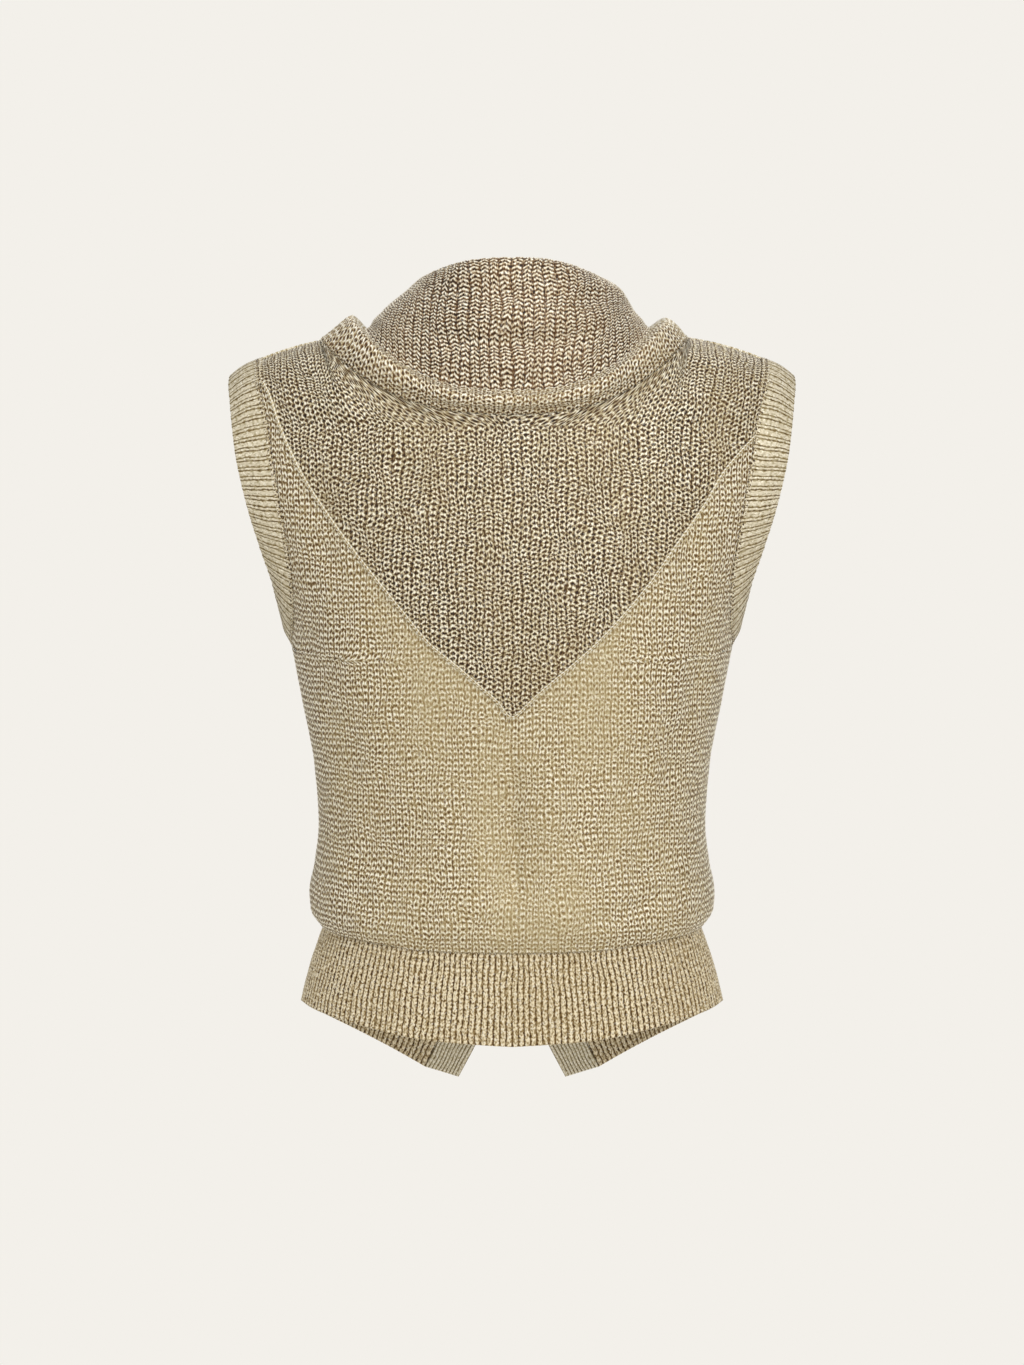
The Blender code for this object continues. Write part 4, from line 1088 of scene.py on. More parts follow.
# fine knit: many small brown gaps, painted shade, in pale yarn, so the body looks grainy; it darkens with
# deeper gaps towards the side seams, also painted shade
fine_yarn = knit_finish(
    "Fine gauge metallic viscose knit",
    BODY_GAUGE,
    colours=("#5A3E1C", "#9A8457", "#CBBF9C", "#FFFCF0"),
    places=(0.0, 0.34, 0.67, 1.0),
    speckle=0.8,
    stray=0.0006,
    patchy=0.5,
    sides=38,
)
# coarse knit: its larger gaps are painted nearly black, the painted shade of the hollow behind them, so the
# yoke looks bolder and darker than the body
coarse_yarn = knit_finish(
    "Coarse gauge metallic viscose knit",
    YOKE_GAUGE,
    colours=("#1E0E02", "#5E401A", "#C2B590", "#FDFBF0"),
    places=(0.12, 0.43, 0.69, 0.96),
    speckle=0.8,
    stray=0.0007,
)
# rolled knit: paler than the coarse knit and paler still upwards, painted light on the roll's crest and
# painted shade under it, so it looks softer
painted_light_roll_yarn = knit_finish(
    "Rolled metallic viscose knit with painted light",
    YOKE_GAUGE,
    colours=("#281404", "#6C4A22", "#C6B790", "#FFFEF6"),
    places=(0.12, 0.42, 0.67, 0.95),
    speckle=0.8,
    stray=0.0007,
    rise=3.5,
)
# open knit: pale chevrons stand on deep brown gaps, the painted shade of the funnel's hollow inside
funnel_yarn = knit_finish(
    "Open gauge metallic viscose knit",
    FUNNEL_GAUGE,
    colours=("#1A0A00", "#6E4A24", "#D0C2A2", "#FFFFF8"),
    places=(0.12, 0.40, 0.66, 0.92),
    speckle=0.9,
    stray=0.0004,
)
panel_yarns = (fine_yarn, coarse_yarn, painted_light_roll_yarn, funnel_yarn)
print("finishes of the panels:", *(yarn.name for yarn in panel_yarns), sep="\n  ")

# %% Finishes of the ribs and seams

# hem rib: the cords hide their gaps, so it looks darker and more even, with streaks of the yarn's own tone
rib_yarn = knit_finish(
    "Metallic viscose rib knit",
    RIB_GAUGE,
    colours=("#402608", "#735726", "#A08C62", "#EFE3C6"),
    places=(0.05, 0.28, 0.55, 1.0),
    speckle=1.4,
    stray=0.0003,
)
# front edge rib: finer and pulled flat, so it looks pale and almost smooth
edge_rib_yarn = knit_finish(
    "Fine metallic viscose rib knit",
    EDGE_RIB_GAUGE,
    colours=("#6A5836", "#9C8B66", "#CBC1A2", "#F7F2E4"),
    places=(0.05, 0.30, 0.60, 1.0),
    speckle=0.8,
    stray=0.0003,
)
# armhole rib: narrow cords in pairs with dark lines between them, and duller tops
cuff_yarn = knit_finish(
    "Metallic viscose cuff rib knit",
    CUFF_GAUGE,
    colours=("#4E3716", "#806C42", "#9C8F69", "#DDD5C0"),
    places=(0.02, 0.22, 0.50, 1.0),
    speckle=1.0,
    stray=0.0004,
)
# linking chain: tight loops without a gap, so it is the palest line on the vest
link_yarn = knit_finish(
    "Linked metallic viscose chain",
    LINK_GAUGE,
    colours=("#8A7346", "#CDBF98", "#F1EAD6", "#FFFFF8"),
    places=(0.05, 0.3, 0.6, 0.95),
    speckle=0.5,
    stray=0.0003,
)
edge_yarns = (rib_yarn, edge_rib_yarn, cuff_yarn, link_yarn)
print("finishes of the edges:", *(yarn.name for yarn in edge_yarns), sep="\n  ")

# %% Dressing a piece


def dress(made, yarn, *nodes):
    """Gives a piece its yarn and its body, and hides the solids it stands for."""
    made.data.materials.append(yarn)
    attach(made, "root")
    if nodes:
        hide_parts(*nodes)
    return made


# %% [markdown]
# ## The back's body
# The body is straight knit: its wales hang plumb from the shoulders and the side seams cut across them. A
# grid stretched over the panel would be simpler, but its wales would fan and its stitches change their
# size. So a stitch finds its place by its real distance from the centre line, and where the panel ends
# the grid is held at its edge. The upper edge tucks under the yoke's linked edge.

# %% Edges on the back


def yoke_edge_level(share):
    """Where the yoke's linked edge crosses these shares of the back."""
    level = np.full(np.shape(share), -0.2)
    for _ in range(30):
        points, _ = back.at(share, back.level_to_up(level))
        level = (level + np.array(YOKE_EDGE("height", points[..., 0]))) / 2
    return level


EDGE_SHARES = np.linspace(-1, 1, 801)
YOKE_LINE = back.level_to_up(yoke_edge_level(EDGE_SHARES))
HEM_LINE = back.level_to_up(BACK_HEM("seam", np.abs(EDGE_SHARES)))
# how far the body runs on under the yoke's edge
TUCK = 0.0030
middle_of_back = len(EDGE_SHARES) // 2
print("body at the centre back, m:", round(float((YOKE_LINE - HEM_LINE)[middle_of_back]), 3))

# %% Holding the grid at an edge

# one flag for each edge that can stop a stitch
LEFT, RIGHT, LOW, HIGH = 1, 2, 4, 8


def held(values, low, high, low_flag, high_flag):
    """Values held between two limits, with a flag for each one that a limit stopped."""
    flags = np.where(values <= low, low_flag, 0) | np.where(values >= high, high_flag, 0)
    return np.clip(values, low, high), flags


def easing(distance, width):
    """Grows from 0 to 1 over this width."""
    return np.clip(distance / width, 0, 1)


print("held between 0 and 1:", *held(np.array([-2.0, 0.5, 3.0]), 0, 1, LEFT, RIGHT))

# %% Straight knit on the back

REACH = float(back.widths.max())
TOP_UP = back.level_to_up(TOP_ROW["back"])
# stitches stray in patches of this width, and less and less by the panel's ends (metres) and sides (a share)
STRAY_REACH, END_FADE, SHARE_FADE = 0.03, 0.012, 0.06
# and each knit strays in its own way
BODY_SEED, YOKE_SEED, ROLL_SEED, FUNNEL_SEED, FRONT_SEED = 1, 3, 6, 8, 8


def straight_on_back(gauge, low, high, stray, seed, sink):
    """Lays straight knit on the back between two lines, cut off at the side seams and armholes."""
    wales, base = 2 * int(REACH / gauge.wale + 1), float(low.min())
    courses = int((high.max() - back.up[-1] + back.metres[-1] - base) / gauge.course) + 3

    def place(u, v):
        u = u - wales / 2 * gauge.wale
        up = back.measured(u / back.width(np.minimum(v + base, TOP_UP), u), v + base)
        reach = back.width(np.minimum(up, TOP_UP), u)
        across, flags = held(u, -reach, reach, LEFT, RIGHT)
        share = across / reach
        first, last = (np.interp(share, EDGE_SHARES, line) for line in (low, high))
        up, more = held(up, first, last, LOW, HIGH)
        fade = stray * easing(np.minimum(up - first, last - up), END_FADE)
        fade = fade * easing(1 - np.abs(share), SHARE_FADE)
        moved = fade * unevenness(u, v, STRAY_REACH, seed) / reach
        points, normals = back.at(share + moved, up + fade * unevenness(u, v, STRAY_REACH, seed + 1))
        return points - sink(share, up)[..., None] * normals, normals, flags | more

    return place, wales, courses


print("wales across the body:", 2 * int(REACH / BODY_GAUGE.wale + 1))

# %% Body knit


def tucked(share, up):
    """The body lies 0.9 mm deeper where the yoke's edge covers it."""
    return 0.0009 * easing(up - np.interp(share, EDGE_SHARES, YOKE_LINE), 0.002)


FINE_RELIEF, FINE_THICKNESS, FINE_STRAY = 0.0009, 0.0018, 0.0009
body_top = YOKE_LINE + TUCK
place, wales, courses = straight_on_back(BODY_GAUGE, HEM_LINE, body_top, FINE_STRAY, BODY_SEED, tucked)
body = knit("back_knit", place, wales, courses, BODY_GAUGE, FINE_RELIEF, FINE_THICKNESS, (4, 2))
dress(body, fine_yarn, "back_body")
print("back body:", round(area_of(body), 4), "m2 of both sides")

# %% [markdown]
# ## The yoke
# The yoke is a deep point of coarse knit across the shoulders. Its wales could follow its slanting edges,
# but the photograph shows them plumb in the middle. So it is laid like the body, with its wales counted
# from the centre line, and they curve in towards the neck over the shoulders.

# %% Yoke knit


def under_seam(share, up):
    """The yoke lies up to 1.6 mm deeper by its shoulder seams, where the front meets it."""
    outer = easing(abs(share) - 0.6, 0.2)
    return 0.0016 * outer * easing(up - up.max() + 0.03, 0.03)


COARSE_RELIEF, COARSE_THICKNESS, COARSE_STRAY = 0.0018, 0.0022, 0.0013
TOP_LINE = np.full(EDGE_SHARES.shape, back.up[-1])
yoke_lines = (YOKE_LINE, TOP_LINE)
place, wales, courses = straight_on_back(YOKE_GAUGE, *yoke_lines, COARSE_STRAY, YOKE_SEED, under_seam)
yoke = knit("yoke_knit", place, wales, courses, YOKE_GAUGE, COARSE_RELIEF, COARSE_THICKNESS, (4, 2))
dress(yoke, coarse_yarn, "back_yoke")

# %% [markdown]
# ## The cowl
# The cowl is one tube, but it shows as two: the roll that has fallen over the yoke, with the yoke's
# stitch, and the funnel that stands in it, with larger stitches. One knit with a stitch that grows would
# blur the change, so it is made as two knits that meet in the deep crease between them.

# %% Straight knit on the cowl

# the roll ends and the funnel starts at this ring, in the deep crease
CREASE_RING = 8.0
COWL_STRAY, COWL_STRAY_REACH, COWL_END_FADE, COWL_SHARE_FADE = 0.0014, 0.035, 0.010, 0.03


def on_cowl(gauge, start, end, seed):
    """Lays straight knit on the cowl between two of its rings, cut off at the front opening."""
    rows = (cowl.up >= start - 0.001) & (cowl.up <= end + 0.001)
    wales = 2 * int(cowl.widths[:, rows].max() / gauge.wale + 1)

    def place(u, v):
        u, up = u - wales / 2 * gauge.wale, v + start
        up, more = held(up, start, end, LOW, HIGH)
        reach = cowl.width(up, u)
        across, flags = held(u, -reach, reach, LEFT, RIGHT)
        share = across / reach
        fade = COWL_STRAY * easing(np.minimum(up - start, end - up), COWL_END_FADE)
        fade = fade * easing(1 - np.abs(share), COWL_SHARE_FADE)
        moved = fade * unevenness(u, v, COWL_STRAY_REACH, seed) / reach
        points, normals = cowl.at(share + moved, up + fade * unevenness(u, v, COWL_STRAY_REACH, seed + 1))
        return points, normals, flags | more

    return place, wales, int((end - start) / gauge.course) + 3


crease_up = float(cowl.level_to_up(CREASE_RING))
print("roll:", round(crease_up, 3), "m, funnel:", round(float(cowl.up[-1]) - crease_up, 3), "m up the cloth")

# %% Roll and funnel knit

ROLL_RELIEF, FUNNEL_RELIEF, COWL_THICKNESS, OVERLAP = 0.0013, 0.0016, 0.0022, 0.001
place, wales, courses = on_cowl(YOKE_GAUGE, 0.0, crease_up, ROLL_SEED)
roll = knit("cowl_roll_knit", place, wales, courses, YOKE_GAUGE, ROLL_RELIEF, COWL_THICKNESS)
dress(roll, painted_light_roll_yarn, "cowl")
place, wales, courses = on_cowl(FUNNEL_GAUGE, crease_up - OVERLAP, float(cowl.up[-1]), FUNNEL_SEED)
funnel = knit("cowl_funnel_knit", place, wales, courses, FUNNEL_GAUGE, FUNNEL_RELIEF, COWL_THICKNESS)
dress(funnel, funnel_yarn)

# %% [markdown]
# ## Ribs
# A rib is knit whose wales stand out as cords. Four kinds hold the vest's edges: the hem band, the bands
# of the two fronts, the front edges and the armholes. A rib could be a row of round cords, but its Vs
# would be lost. So it is knitted like the panels, with a gauge whose gutters run through. It looks alike
# on both sides, so its wall swells both ways.

# %% Form between two lines


def ruled(low, high, swell, outward, rows=9, closed=False, at=None):
    """A form between two lines of points that swells a little in its middle."""
    shares = np.linspace(0, 1, rows)[:, None, None]
    form = Form(low + (high - low) * shares, outward, closed=closed, at=at)
    bulge = swell * np.sin(math.pi * shares)
    form.points = form.points + bulge * form.normals
    form.face()
    return form


HEM_SWELL = 0.0012


def hem_form(count=241):
    """The band between the hem and its seam on the back, from side seam to side seam."""
    halves = {}
    for side in SIDES:
        seam, hem = (section("back", side, height, count) for height in (SIDE_SEAM_BOTTOM, SIDE_HEM))
        shares = np.linspace(0, 1, count)
        seam[:, 2], hem[:, 2] = BACK_HEM("seam", shares), BACK_HEM("hem", shares)
        halves[side] = np.stack([evenly(hem, count), evenly(seam, count)])
    both = np.concatenate([halves["left"][:, :0:-1], halves["right"]], axis=1)
    return ruled(both[0], both[1], HEM_SWELL, (0, -1, 0))


hem = hem_form()
hem_width = float(hem.widths.sum(axis=0).mean())
print("back hem band:", round(hem_width, 3), "m wide,", round(hem.up[-1], 3), "m high")

# %% Knitting a rib

RIB_STRAY, RIB_SEED, RIB_END_FADE, RIB_SHARE_FADE, RIB_THICKNESS = 0.0006, 11, 0.010, 0.03, 0.0014


def on_form(form, reach, stray=RIB_STRAY):
    """Lays a whole number of wales over the whole width of a form, and holds the courses within it."""

    def place(u, v):
        share = u / reach - 1
        up, flags = held(v, 0, form.up[-1], LOW, HIGH)
        fade = stray * easing(np.minimum(up, form.up[-1] - up), RIB_END_FADE)
        fade = fade * easing(1 - np.abs(share), RIB_SHARE_FADE)
        points, normals = form.at(share + fade * unevenness(u, v, STRAY_REACH, RIB_SEED) / reach, up)
        return points, normals, flags

    return place


def knit_rib(name, form, wales, gauge, relief, steps=(4, 2)):
    courses = int(form.up[-1] / gauge.course) + 3
    place = on_form(form, wales * gauge.wale / 2)
    return knit(name, place, wales, courses, gauge, relief, RIB_THICKNESS, steps, both=True)


# %% Back hem rib

HEM_WALES, HEM_RELIEF = 96, 0.0011
hem_knit = knit_rib("back_hem_rib", hem, HEM_WALES, RIB_GAUGE, HEM_RELIEF)
dress(hem_knit, rib_yarn, "hem_rib_back")

# %% [markdown]
# ## The fronts
# The fronts hang open a finger's width apart. Each is the same fine knit, with a ribbed edge down the
# opening and a band that drops to a point. The photograph shows them only from behind, so they are
# finished plainly. The edge could follow the grid of the front, but that grid curves with the body. So
# its two lines are laid first, as distances from the centre line, and the front's own place for each is
# looked up.

# %% Lines on the front

PLACKET_WIDTH, PLACKET_CORNER, PLACKET_SLANT = 0.028, -0.5855, 0.0045
FRONT_BAND_HEIGHT, HEM_FALL = 0.066, 1.16


def placket_lines(count=241):
    """(distance from the centre line, height) of a front's free edge and of its seam, from the hem upward."""
    heights = np.linspace(PLACKET_CORNER, TOP_ROW["front"], 241)
    edge = evenly(np.stack([FRONT_EDGE("edge", heights), heights], axis=1), count)
    along = np.gradient(edge, axis=0)
    along /= np.linalg.norm(along, axis=1, keepdims=True)
    seam = edge + PLACKET_WIDTH * np.stack([along[:, 1], -along[:, 0]], axis=1)
    seam[0] -= PLACKET_SLANT * along[0]
    return edge, seam


def front_share(side, x, level):
    """The share of the front where it stands this far from the centre line."""
    half = front.points.shape[1] // 2
    rows = np.interp(np.minimum(level, TOP_ROW["front"]), front.levels, np.arange(len(front.levels)))
    found = []
    for distance, row in zip(np.ravel(x), np.ravel(rows)):
        line = np.abs(front.points[int(round(row)), :, 0])
        line = line[half:] if side == "right" else line[half::-1]
        found.append(np.interp(distance, line, np.linspace(0, 1, half + 1)))
    return np.reshape(found, np.shape(x))


edge, seam = placket_lines()
for name, line in (("free edge", edge), ("seam", seam)):
    print(f"front edge rib, {name}:", round(length_of(line), 3), "m")

# %% Front edge ribs

# rows of the form over the shoulder's turn, and its points across
PLACKET_TURN_ROWS, PLACKET_ACROSS = 45, 17
EDGE_WALES, EDGE_RELIEF = 10, 0.0009


def placket_form(side):
    """The form of a front's ribbed edge, from the corner at its hem up to the cowl's seam."""
    edge, seam = placket_lines()
    levels = np.concatenate([seam[:, 1], np.linspace(TOP_ROW["front"], 0, PLACKET_TURN_ROWS + 1)[1:]])
    places, rows = np.arange(len(seam)), []
    for level in levels:
        at = np.interp(level, seam[:, 1], places)
        free, sewn = (np.array([np.interp(at, places, axis) for axis in line.T]) for line in (edge, seam))
        across = free + (sewn - free) * np.linspace(0, 1, PLACKET_ACROSS)[:, None]
        height = across[:, 1] if level <= TOP_ROW["front"] else np.maximum(across[:, 1], level)
        share = front_share(side, across[:, 0], height) * SIDES[side]
        rows.append(front.at(share, front.level_to_up(height))[0])
    return Form(np.array(rows), (0, 1, 0), levels)

plackets = {side: placket_form(side) for side in SIDES}
for side, form in plackets.items():
    made = knit_rib(f"front_edge_rib_{side}", form, EDGE_WALES, EDGE_RIB_GAUGE, EDGE_RELIEF, steps=(4, 1))
    dress(made, edge_rib_yarn, f"placket_{side}")


# %% Front bands

BAND_WALES, BAND_SWELL = 38, 0.0010


def band_corners():
    """Where the front's band meets the seam of its ribbed edge: at its hem and at its upper edge."""
    _, seam = placket_lines()
    along = np.concatenate([[0], np.cumsum(np.linalg.norm(np.diff(seam, axis=0), axis=1))])
    return seam[0], np.array([np.interp(FRONT_BAND_HEIGHT, along, axis) for axis in seam.T])


def front_line(side, corner, end_level, starts):
    """Shares and levels from the placket's seam to the side, rising from the corner."""
    first = float(front_share(side, np.array([corner[0]]), np.array([corner[1]]))[0])
    return first + (1 - first) * starts, end_level + (corner[1] - end_level) * (1 - starts) ** HEM_FALL


def band_form(side, count=161):
    """The form of a front's band, between its hem and the seam to the fine knit."""
    lines = []
    for corner, end_level in zip(band_corners(), (SIDE_HEM, SIDE_SEAM_BOTTOM)):
        shares, levels = front_line(side, corner, end_level, np.linspace(0, 1, count))
        lines.append(front.at(shares * SIDES[side], front.level_to_up(levels))[0])
    return ruled(lines[0], lines[1], BAND_SWELL, (0, 1, 0))


bands = {side: band_form(side) for side in SIDES}
for side, form in bands.items():
    made = knit_rib(f"front_hem_rib_{side}", form, BAND_WALES, RIB_GAUGE, HEM_RELIEF, steps=(4, 1))
    dress(made, rib_yarn, f"hem_rib_{side}")
print("a front's band is", round(bands["left"].up[-1], 3), "m high")

# %% Front knit

FRONT_WALES = int(front.widths.max() / BODY_GAUGE.wale) + 2
FRONT_STRAY_REACH = 0.022


def on_front(side):
    """Lays straight knit on one front, between the seams of its ribbed edge, its band and its side."""
    _, seam = placket_lines()
    _, corner = band_corners()
    seam_share = front_share(side, seam[:, 0], seam[:, 1])
    starts = np.linspace(0, 1, 201)
    shares, levels = front_line(side, corner, SIDE_SEAM_BOTTOM, starts)
    low_line, sign = front.level_to_up(levels), SIDES[side]
    base, top = float(low_line.min()), front.level_to_up(TOP_ROW["front"])

    def place(u, v):
        up = front.measured(sign * u / front.width(np.minimum(v + base, top), sign + 0 * u), v + base)
        reach = front.width(np.minimum(up, top), sign + 0 * u)
        first = np.interp(front.up_to_level(up), seam[:, 1], seam_share)
        across, flags = held(u, first * reach, reach, LEFT, RIGHT)
        share = across / reach
        low = np.interp(share, shares, low_line)
        up, more = held(up, low, front.up[-1], LOW, HIGH)
        fade = easing(np.minimum(up - low, front.up[-1] - up), END_FADE)
        fade = fade * easing(np.minimum(share - first, 1 - share), SHARE_FADE)
        stray = FINE_STRAY * fade
        share = share + stray * unevenness(u, v, FRONT_STRAY_REACH, FRONT_SEED) / reach
        up = up + stray * unevenness(u, v, FRONT_STRAY_REACH, FRONT_SEED + 1)
        points, normals = front.at(sign * share, up)
        return points, normals, flags | more

    courses = int((front.metres[-1] - base) / BODY_GAUGE.course) + 3
    return place, courses


for side in SIDES:
    name, (place, courses) = f"front_knit_{side}", on_front(side)
    made = knit(name, place, FRONT_WALES, courses, BODY_GAUGE, FINE_RELIEF, FINE_THICKNESS, (4, 1))
    dress(made, fine_yarn, f"front_{side}")


# %% [markdown]
# ## The armholes
# Each armhole is bound with a rib whose cords run across the band, from the seam to the free edge, so
# they fan round the underarm. A straight strip bent round the hole would pucker there. So the band is
# laid between its two lines, the seam on the panels and the free edge. It is a closed ring: its grid's
# two ends are merged at the shoulder.

# %% Lines of the armhole

# the free edge of the rib as seen from the side: a half ellipse on each face
CUFF_MIDDLE, CUFF_HALF_HEIGHT = -0.1157, 0.0874
CUFF_HALF_WIDTH = {"back": 0.0585, "front": 0.0500}


def cuff_line(side, face, count):
    """The free edge of the armhole rib, from the shoulder to the underarm."""
    turn = np.linspace(0, math.pi, 361)
    z = CUFF_MIDDLE + CUFF_HALF_HEIGHT * np.cos(turn)
    y = FACES[face] * CUFF_HALF_WIDTH[face] * np.sin(turn)
    x = SIDES[side] * ARMHOLE("edge", z)
    return evenly(np.stack([x, y, z], axis=1), count)


def armhole_lines(side, count=241):
    """The armhole seam and the rib's free edge: from the shoulder, down the back, and up the front."""
    seams, frees = [], []
    for face, form in (("back", back), ("front", front)):
        turned = np.linspace(0, TOP_ROW[face], 60)[:-1]
        levels = np.concatenate([turned, np.linspace(TOP_ROW[face], UNDERARM, 120)])
        end = np.full(levels.shape, float(SIDES[side]))
        seam = evenly(form.at(end, form.level_to_up(levels))[0], count)
        free = cuff_line(side, face, count)
        seams.append(seam if face == "back" else seam[-2::-1])
        frees.append(free if face == "back" else free[-2::-1])
    return np.concatenate(seams), np.concatenate(frees)


print("once round an armhole's seam, m:", round(length_of(armhole_lines("left")[0]), 3))

# %% Armhole ribs

CUFF_WALES, CUFF_SWELL, CUFF_RELIEF = 142, 0.0016, 0.0010
cuffs = {}
for side in SIDES:
    seam, free = armhole_lines(side)
    seam[-1], free[-1] = seam[0], free[0]
    cuffs[side] = ruled(seam, free, CUFF_SWELL, (0, 0, 1), closed=True, at=0)
    made = knit_rib(f"armhole_rib_knit_{side}", cuffs[side], CUFF_WALES, CUFF_GAUGE, CUFF_RELIEF)
    dress(made, cuff_yarn, f"armhole_rib_{side}")


# %% [markdown]
# ## Linked edges and seams
# Knit panels are joined loop to loop on a linking machine, which leaves a chain of stitches. It stands
# bright and proud along the yoke's edge, and dark and open between the body and the armhole ribs. It
# could be a row of copied rings, but a real chain is itself knit. So each chain is one wale of knit, or
# two, laid along its line on a low arch.

# %% Form of a chain


def chain_form(points, normals, width, arch):
    """A low arch along a line, as wide as the chain."""
    along = np.gradient(points, axis=0)
    side = np.cross(along, normals)
    side /= np.linalg.norm(side, axis=1, keepdims=True)
    shares = np.linspace(-1, 1, 9)
    rows = points[:, None] + side[:, None] * (shares * width / 2)[None, :, None]
    rows = rows + (arch * (1 - shares**2))[None, :, None] * normals[:, None]
    middle = len(points) // 2
    return Form(rows, normals[middle])


def spaced(points, normals):
    """A line's points and normals again, with a point about every 1.2 mm."""
    count = max(12, int(length_of(points) / 0.0012))
    along = np.concatenate([[0], np.cumsum(np.linalg.norm(np.diff(points, axis=0), axis=1))])
    along /= along[-1]
    at = np.linspace(0, 1, count)
    points, normals = (
        np.stack([np.interp(at, along, axis) for axis in grid.T], axis=1) for grid in (points, normals)
    )
    return points, normals / np.linalg.norm(normals, axis=1, keepdims=True)


# %% A chain of stitches

CHAIN_STITCH, CHAIN_RELIEF, CHAIN_THICKNESS = 0.0036, 0.0009, 0.0010
# a chain of one wale in the yarn and gauge of the panels, where it should look like a part of them
FINE_LOOK, COARSE_LOOK = (fine_yarn, BODY_GAUGE), (coarse_yarn, YOKE_GAUGE)


def chain(name, points, normals, width, arch, look=(link_yarn, LINK_GAUGE), stitch=CHAIN_STITCH, wales=1):
    """A chain of linking stitches along a line that lies on the cloth."""
    form = chain_form(*spaced(points, normals), width, arch)
    gauge, (yarn, drawn) = Gauge(width / wales, stitch), look
    place, courses = on_form(form, width / 2, 0.0), int(form.up[-1] / stitch) + 3
    made = knit(name, place, wales, courses, gauge, CHAIN_RELIEF, CHAIN_THICKNESS)
    # a single wale takes one stitch of its finish, whatever gauge that is drawn for
    scale = (drawn.wale / gauge.wale, drawn.course / gauge.course) if wales == 1 else (1, 1)
    uv = np.zeros(len(made.data.loops) * 2)
    made.data.uv_layers[0].data.foreach_get("uv", uv)
    made.data.uv_layers[0].data.foreach_set("uv", (uv.reshape(-1, 2) * scale).ravel())
    return dress(made, yarn)


# %% Yoke edge chain

shares = np.linspace(-1, 1, 601)
points, normals = back.at(shares, np.interp(shares, EDGE_SHARES, YOKE_LINE))
chain("yoke_link", points + 0.0006 * normals, normals, 0.0026, 0.0018, stitch=0.0032)

# %% Seam chains

# how deep each seam is pulled in, and how low its chain's arch is
SEAM_SINK, SHOULDER_SINK, NECK_SINK = 0.0006, 0.0024, 0.0008
SEAM_ARCH, EDGE_ARCH, NECK_ARCH = 0.0004, 0.0005, 0.0002
for side, sign in SIDES.items():
    ring = cuffs[side]
    out = ring.normals[0]
    link = f"armhole_link_{side}"
    chain(link, ring.points[0], out, 0.0070, SEAM_ARCH, COARSE_LOOK, wales=2)
    levels = np.linspace(SIDE_SEAM_BOTTOM, UNDERARM, 120)
    line, out = back.at(np.full(120, float(sign)), back.level_to_up(levels))
    line = line - SEAM_SINK * out
    chain(f"side_link_{side}", line, out, 0.0030, SEAM_ARCH, FINE_LOOK)
    shoulder = np.linspace(NECK_SHARE, 1, 60) * sign
    line, out = back.at(shoulder, np.full(60, back.up[-1]))
    line = line - SHOULDER_SINK * out
    chain(f"shoulder_link_{side}", line, out, 0.0036, SEAM_ARCH, COARSE_LOOK)
    line, out = plackets[side].points[:, -1], plackets[side].normals[:, -1]
    chain(f"front_edge_link_{side}", line, out, 0.0030, EDGE_ARCH)
    line, out = bands[side].points[-1], bands[side].normals[-1]
    chain(f"front_hem_link_{side}", line, out, 0.0030, EDGE_ARCH)


# %% Hem and neck chains

line, out = hem.points[-1], hem.normals[-1]
chain("hem_link", line - SEAM_SINK * out, out, 0.0034, SEAM_ARCH)
line, out = cowl.points[0], cowl.normals[0]
chain("neck_link", line - NECK_SINK * out, out, 0.0040, NECK_ARCH, COARSE_LOOK)

# %% [markdown]
# ## The cut
# Every piece was flat before it was sewn. The flat size could be guessed from the worn one, but cloth
# stretches and folds. The knit map still holds it: it is the piece's own flat shape in metres.

# %% Sheets


def cut_of(made):
    """The width, length and area of the flat piece, from its knit map.  Both sides of the wall are on it."""
    loops = np.zeros(len(made.data.loops) * 2)
    made.data.uv_layers["knit"].data.foreach_get("uv", loops)
    loops = loops.reshape(-1, 2)
    corners = np.array([triangle.loops for triangle in made.data.loop_triangles])
    first, second, third = (loops[corners[:, k]] for k in range(3))
    doubled = np.cross(second - first, third - first)
    width, length = loops.max(axis=0) - loops.min(axis=0)
    return float(width), float(length), float(np.abs(doubled).sum() / 4)


def sheet(name, held, rests_on, *seams):
    """Says a piece's flat size, and how large its cloth is now."""
    made = bpy.data.objects[name]
    made.data.calc_loop_triangles()
    width, length, area = cut_of(made)
    size = f"{1000 * width:.0f} x {1000 * length:.0f} mm, {1e4 * area:.0f} cm2"
    print(f"{name}: cut from {size}, its cloth now {area_of(made) / 2 / area:.2f} of that")


sheet("yoke_knit", "hung", [], "yoke")
sheet("back_knit", "hung", ["yoke_knit"])
sheet("cowl_roll_knit", "folded", ["yoke_knit"], "neck")
sheet("cowl_funnel_knit", "folded", ["cowl_roll_knit"])
sheet("back_hem_rib", "hung", ["back_knit"], "hem")
for side in SIDES:
    front_knit = f"front_knit_{side}"
    sheet(front_knit, "hung", ["yoke_knit"], f"side_{side}", f"shoulder_{side}")
    sheet(f"front_edge_rib_{side}", "hung", [front_knit], f"placket_{side}")
    sheet(f"front_hem_rib_{side}", "hung", [front_knit], f"band_{side}")
    sheet(f"armhole_rib_knit_{side}", "hung", ["yoke_knit", front_knit], f"armhole_{side}")


# %% [markdown]
# ## Light, floor and camera
# The photograph is a shop's cut-out: a plain warm white ground, soft light from the front and a little
# from above. The ground could stand far away and be lit by lamps, but lamps that suit the knit leave it
# grey. So it is a large matt floor, one metre under the vest's neck, that glows evenly where the camera
# sees it, and the sky behind has its tone.

# %% Floor

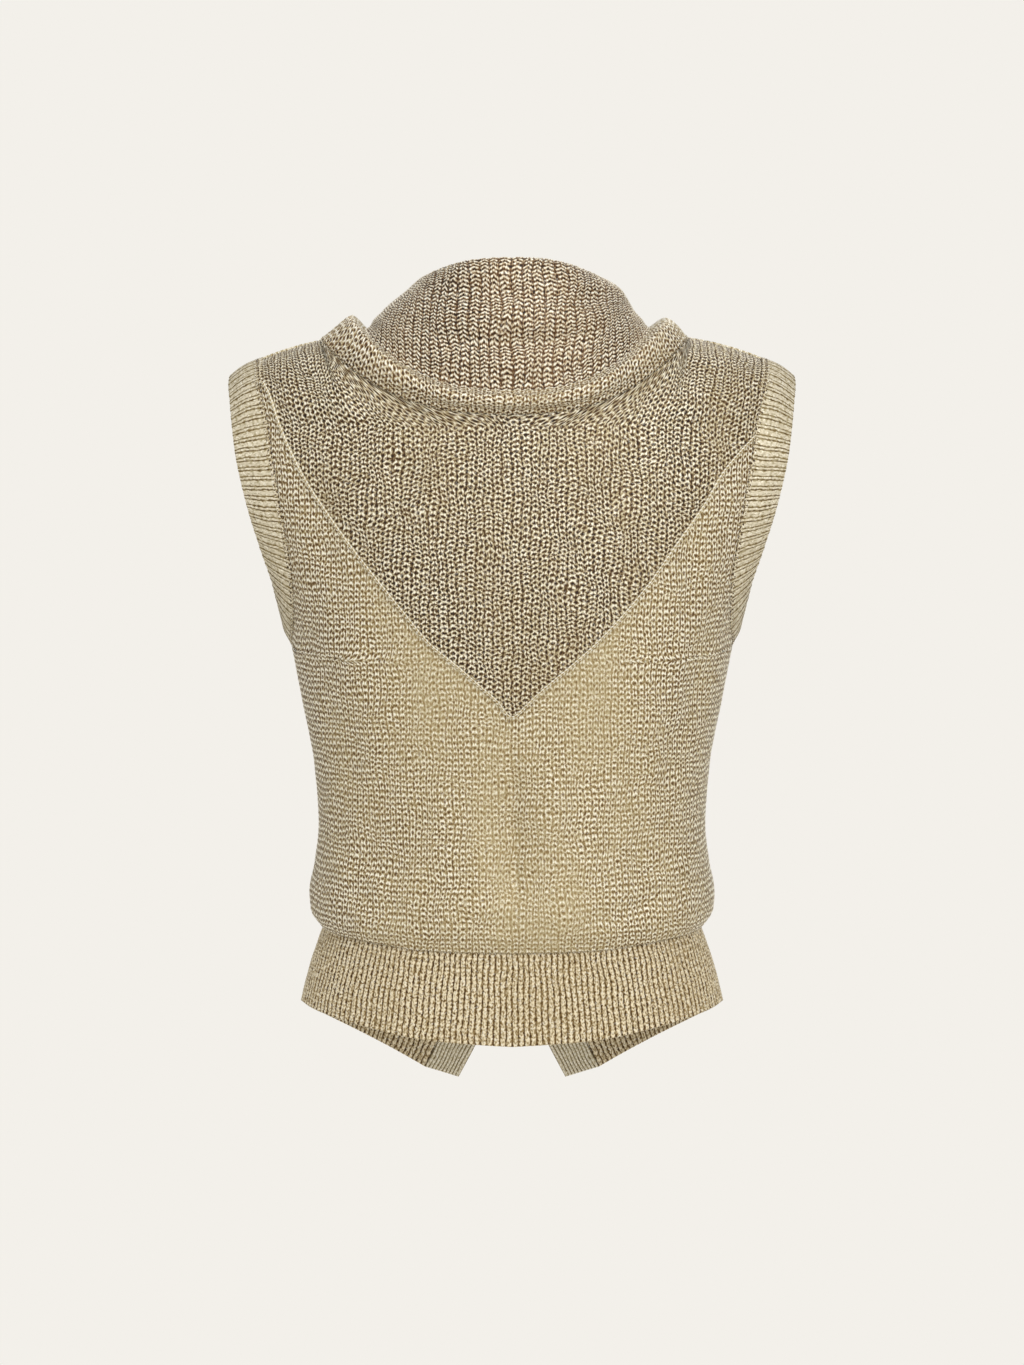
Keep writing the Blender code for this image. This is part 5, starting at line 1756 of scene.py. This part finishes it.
GROUND, FLOOR_LEVEL, FLOOR_HALF = "#F3F0EA", -1.0, 30
floor_mesh = bmesh.new()
bmesh.ops.create_grid(floor_mesh, x_segments=1, y_segments=1, size=FLOOR_HALF)
bmesh.ops.translate(floor_mesh, verts=floor_mesh.verts[:], vec=(0, 0, FLOOR_LEVEL))
floor_data = bpy.data.meshes.new("floor")
floor_mesh.to_mesh(floor_data)
floor_mesh.free()
floor = bpy.data.objects.new("floor", floor_data)
bpy.context.scene.collection.objects.link(floor)
floor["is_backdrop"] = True

# matt paper: no gloss, so it carries no reflection of the lamps
ground = bpy.data.materials.new("Matt paper ground")
ground.use_nodes = True
tree = ground.node_tree
paper = tree.nodes["Principled BSDF"]
paper.inputs["Base Color"].default_value = srgb(GROUND)
paper.inputs["Roughness"].default_value = 0.9
seen = add(tree, "LightPath").outputs["Is Camera Ray"]
glow = add(tree, "Emission", {0: srgb(GROUND), 1: 1.0})
mixed = add(tree, "MixShader", {0: seen, 1: paper, 2: glow})
tree.links.new(mixed.outputs[0], tree.nodes["Material Output"].inputs[0])
floor_data.materials.append(ground)
print("floor at", FLOOR_LEVEL, "m")

# %% Sky

SKY, SKY_STRENGTH = "#FFFDF8", 0.55
world = bpy.data.worlds.new("studio")
bpy.context.scene.world = world
world.use_nodes = True
tree = world.node_tree
lit = tree.nodes["Background"]
lit.inputs[0].default_value, lit.inputs[1].default_value = srgb(SKY), SKY_STRENGTH
shown = add(tree, "Background", {0: srgb(GROUND), 1: 1.0})
seen = add(tree, "LightPath").outputs["Is Camera Ray"]
mixed = add(tree, "MixShader", {0: seen, 1: lit, 2: shown})
tree.links.new(mixed.outputs[0], tree.nodes["World Output"].inputs[0])
print("the sky lights with", SKY_STRENGTH, "and shows as", GROUND)

# %% [markdown]
# ## Lamps
# One hard lamp would draw every loop with a black shadow, and light from all sides none at all. Five
# broad, soft lamps keep the loops readable: the key from the camera's right gives each leg its pale side,
# one lights the shoulders from above, two fill the shadows, and one lights the hidden front for the other
# views.

# %% Lamps

LAMPS = (
    # name, watts, width in metres, place, and the point it is aimed at
    ("key", 21.5, 1.2, (0.7, -1.9, 1.2), (0, 0, -0.2)),
    ("top light", 6.5, 0.9, (0.0, -0.6, 1.7), (0, 0, 0)),
    ("low fill", 6.5, 1.4, (1.0, -1.8, -0.85), (0, 0, -0.45)),
    ("left fill", 5, 1.2, (-1.7, -1.3, 0.6), (0, 0, -0.2)),
    ("front light", 8, 1.2, (0.3, 1.6, 1.4), (0, 0, -0.2)),
)
for name, power, wide, place, aim in LAMPS:
    light = bpy.data.lights.new(name, "AREA")
    light.energy, light.size, light.color = power, wide, srgb("#FFFAF2")[:3]
    lamp = bpy.data.objects.new(name, light)
    bpy.context.scene.collection.objects.link(lamp)
    lamp.location = place
    turn = np.array(aim) - np.array(place)
    lamp.rotation_euler = (
        math.atan2(math.hypot(turn[0], turn[1]), -turn[2]),
        0,
        math.atan2(turn[1], turn[0]) - math.pi / 2,
    )
bpy.context.scene.view_settings.view_transform = "Standard"
print("lamps:", len(LAMPS), "with", sum(power for _, power, *_ in LAMPS), "W in all")

# %% [markdown]
# ## Camera
# The camera could be placed by eye. It stands where the photograph's proportions put it instead: 2.2 m
# from the vest, a little above it, looking down eight degrees at the back.

# %% Camera

DISTANCE, HEIGHT, TILT = 2.2, -0.257, math.radians(8)
camera = bpy.data.cameras.new("camera")
camera.lens, camera.sensor_width = 77.4, 36
viewer = bpy.data.objects.new("camera", camera)
bpy.context.scene.collection.objects.link(viewer)
viewer.location = (0, -DISTANCE * math.cos(TILT), HEIGHT + DISTANCE * math.sin(TILT))
viewer.rotation_euler = (math.pi / 2 - TILT, 0, 0)
bpy.context.scene.camera = viewer
print("camera at", [round(value, 3) for value in viewer.location], "lens", camera.lens, "mm")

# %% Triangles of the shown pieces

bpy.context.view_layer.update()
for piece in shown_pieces():
    piece.data.calc_loop_triangles()
